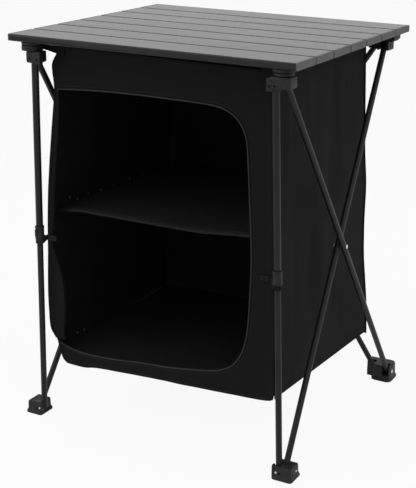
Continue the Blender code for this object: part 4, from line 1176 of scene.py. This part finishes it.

# %% [markdown]
# ## Rivets and studs
# Rivets pin the tubes in the brackets and feet, with bright heads on the feet and the lobe. Beside
# them, near-black discs are painted shade: they stand for the shade in each hole and gap of the
# brackets and feet. Press studs tie the shelf to the cabinet's left wall. The heads are one tree: a
# chamfered disc with a dome on it, set on points that carry the way they face. They could be placed
# by hand, one by one; here one row of numbers moves a head.

# %% Rivet heads and studs
WALL_STUDS = (
    (-163, 444), (-166, 427), (-137, 434), (-101, 436), (-57, 434), (-12, 434), (42, 436), (89, 434), (-166, 151),
    (-141, 149),
)
FORWARD = (0, -1, 0)
rivets = {}


def heads(name, places, finish, radius, rise):
    """Round heads at places in millimetres, each with the direction that it faces."""
    mesh = new_mesh(name, [tuple(c * MM for c in p) for p, _ in places])
    way = mesh.attributes.new("way", "FLOAT_VECTOR", "POINT")
    way.data.foreach_set("vector", [c for _, w in places for c in Vector(w).normalized()])
    rivets[name] = grown(name, mesh, stud_tree, radius=radius * MM, rise=rise * MM, finish=finish)


for word, side, hole_x, foot_at, foot_end in (("left", -1, 239.2, 270, 300.1), ("right", 1, 245.6, 275, 305.8)):
    out = (side, 0, 0)
    pins = [((side * 274.6, -240, 744.5), (side, 0.15, 0)), ((side * LEG_X, -271, 747), FORWARD)]
    heads(f"bracket_rivets_{word}", pins, moulded_nylon, 3, 1)
    # Painted shade: dark discs on the bracket where a hole and the gap above the leg lie in shade.
    hole_shades = [((side * x, -271.1, z), FORWARD) for x, z in ((hole_x, 740), (256, 741.4))]
    heads(f"ear_holes_{word}", hole_shades, painted_hole_shade, 1.9, 0.35)
    heads(f"knob_pin_{word}", [((side * 274.9, -239, 742.5), (side, 0.1, 0))], rivet_steel, 1.9, 0.8)
    pins = [((side * foot_at, -270.9, 14.5), FORWARD), ((side * foot_end, -246.5, 14.5), out)]
    heads(f"foot_rivet_{word}", pins, rivet_steel, 2.5, 1.2)
    # Painted shade: dark discs on the foot where each hole lies in shade.
    hole_shades = [((side * (foot_at + 7), -271, 14), FORWARD), ((side * (foot_end + 0.1), -262, 12), out)]
    heads(f"foot_holes_{word}", hole_shades, painted_hole_shade, 2.1, 0.35)
stud_places = [((-side_x(-1, y, z) + 1, y, z), (1, 0, 0)) for y, z in WALL_STUDS]
heads("wall_studs", stud_places, stud_nickel, 2.6, 1)
print("heads:", {n: len(o.data.polygons) for n, o in rivets.items()})

# %% [markdown]
# ## Which body each piece rides on
# The front of the cabinet hangs from the front left bracket, the rest from the rear left one, and
# the right side from the rear right one, as in the frame. Each piece that should flatten towards its
# bracket when the frame folds gets a mesh of its own, and the table names the direction; the
# flattening itself is not done here. Real cloth would fold into creases, but one flattening for each
# piece is what the library can play back.

# %% Ride, replace, and give each piece that should flatten its own mesh
FRONT_LEFT, REAR_LEFT, REAR_RIGHT = "front_left_bracket", "rear_left_bracket", "rear_right_bracket"
ACROSS, DEEP = (1, 0, 0), (0, 1, 0)


def hang_on(piece, body, node=None, flatten=None):
    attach(piece, body)
    if node:
        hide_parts(node)
    if flatten:
        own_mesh(piece)


# The body, the finish and the direction of flattening, then each piece and the node it replaces
for body, finish_slot, axis, pieces in (
    (FRONT_LEFT, "cloth", ACROSS, {front_cloth: "panel_front", front_stitches: None, corner_beads["front"]: None}),
    (FRONT_LEFT, "piping", ACROSS, {door_bead: "door_piping"}),
    (FRONT_LEFT, "cloth", None, {door_pleats: "door_leaf"}),
    (REAR_LEFT, "cloth", DEEP, {side_cloth["left"]: "panel_left", side_stitches["left"]: None}),
    (REAR_RIGHT, "cloth", DEEP, {side_cloth["right"]: "panel_right", side_stitches["right"]: None}),
    (REAR_LEFT, "cloth", ACROSS, {rear_cloth: "panel_rear", rear_stitches: None, corner_beads["rear"]: None}),
    (REAR_LEFT, "cloth", ACROSS, {shelf_cover: "shelf", shelf_stitches: None, floor_cover: "floor"}),
    (REAR_LEFT, "piping", ACROSS, {shelf_welt: None}),
    (REAR_LEFT, "rivet", DEEP, {rivets.pop("wall_studs"): None}),
    (FRONT_LEFT, "webbing", None, {webbing_loops["left"]: "tab_left"}),
    ("front_right_bracket", "webbing", None, {webbing_loops["right"]: "tab_right"}),
):
    for piece, node_name in pieces.items():
        hang_on(piece, body, node_name, axis)
for (end, _), piece in corner_straps.items():
    hang_on(piece, FRONT_LEFT if end == "front" else REAR_LEFT, None, ACROSS)
for node_name, piece in hardware.items():
    kind, word = node_name.split("_")[0], node_name.split("_")[-1]
    on_foot = kind == "foot" or node_name.startswith("leg_lower")
    body = "slat_1_link" if kind == "cup" else f"front_{word}_foot" if on_foot else f"front_{word}_bracket"
    hang_on(piece, body, node_name)
for name, piece in rivets.items():
    holder = "foot" if name.startswith("foot") else "bracket"
    hang_on(piece, f"front_{name.rsplit('_', 1)[1]}_{holder}")
print("mouldings and heads hung:", len(hardware) + len(rivets))

# %% Say which pieces are cloth
sheets = (front_cloth, *side_cloth.values(), rear_cloth, shelf_cover, floor_cover, door_pleats)
print("sheets:", [piece.name for piece in sheets])
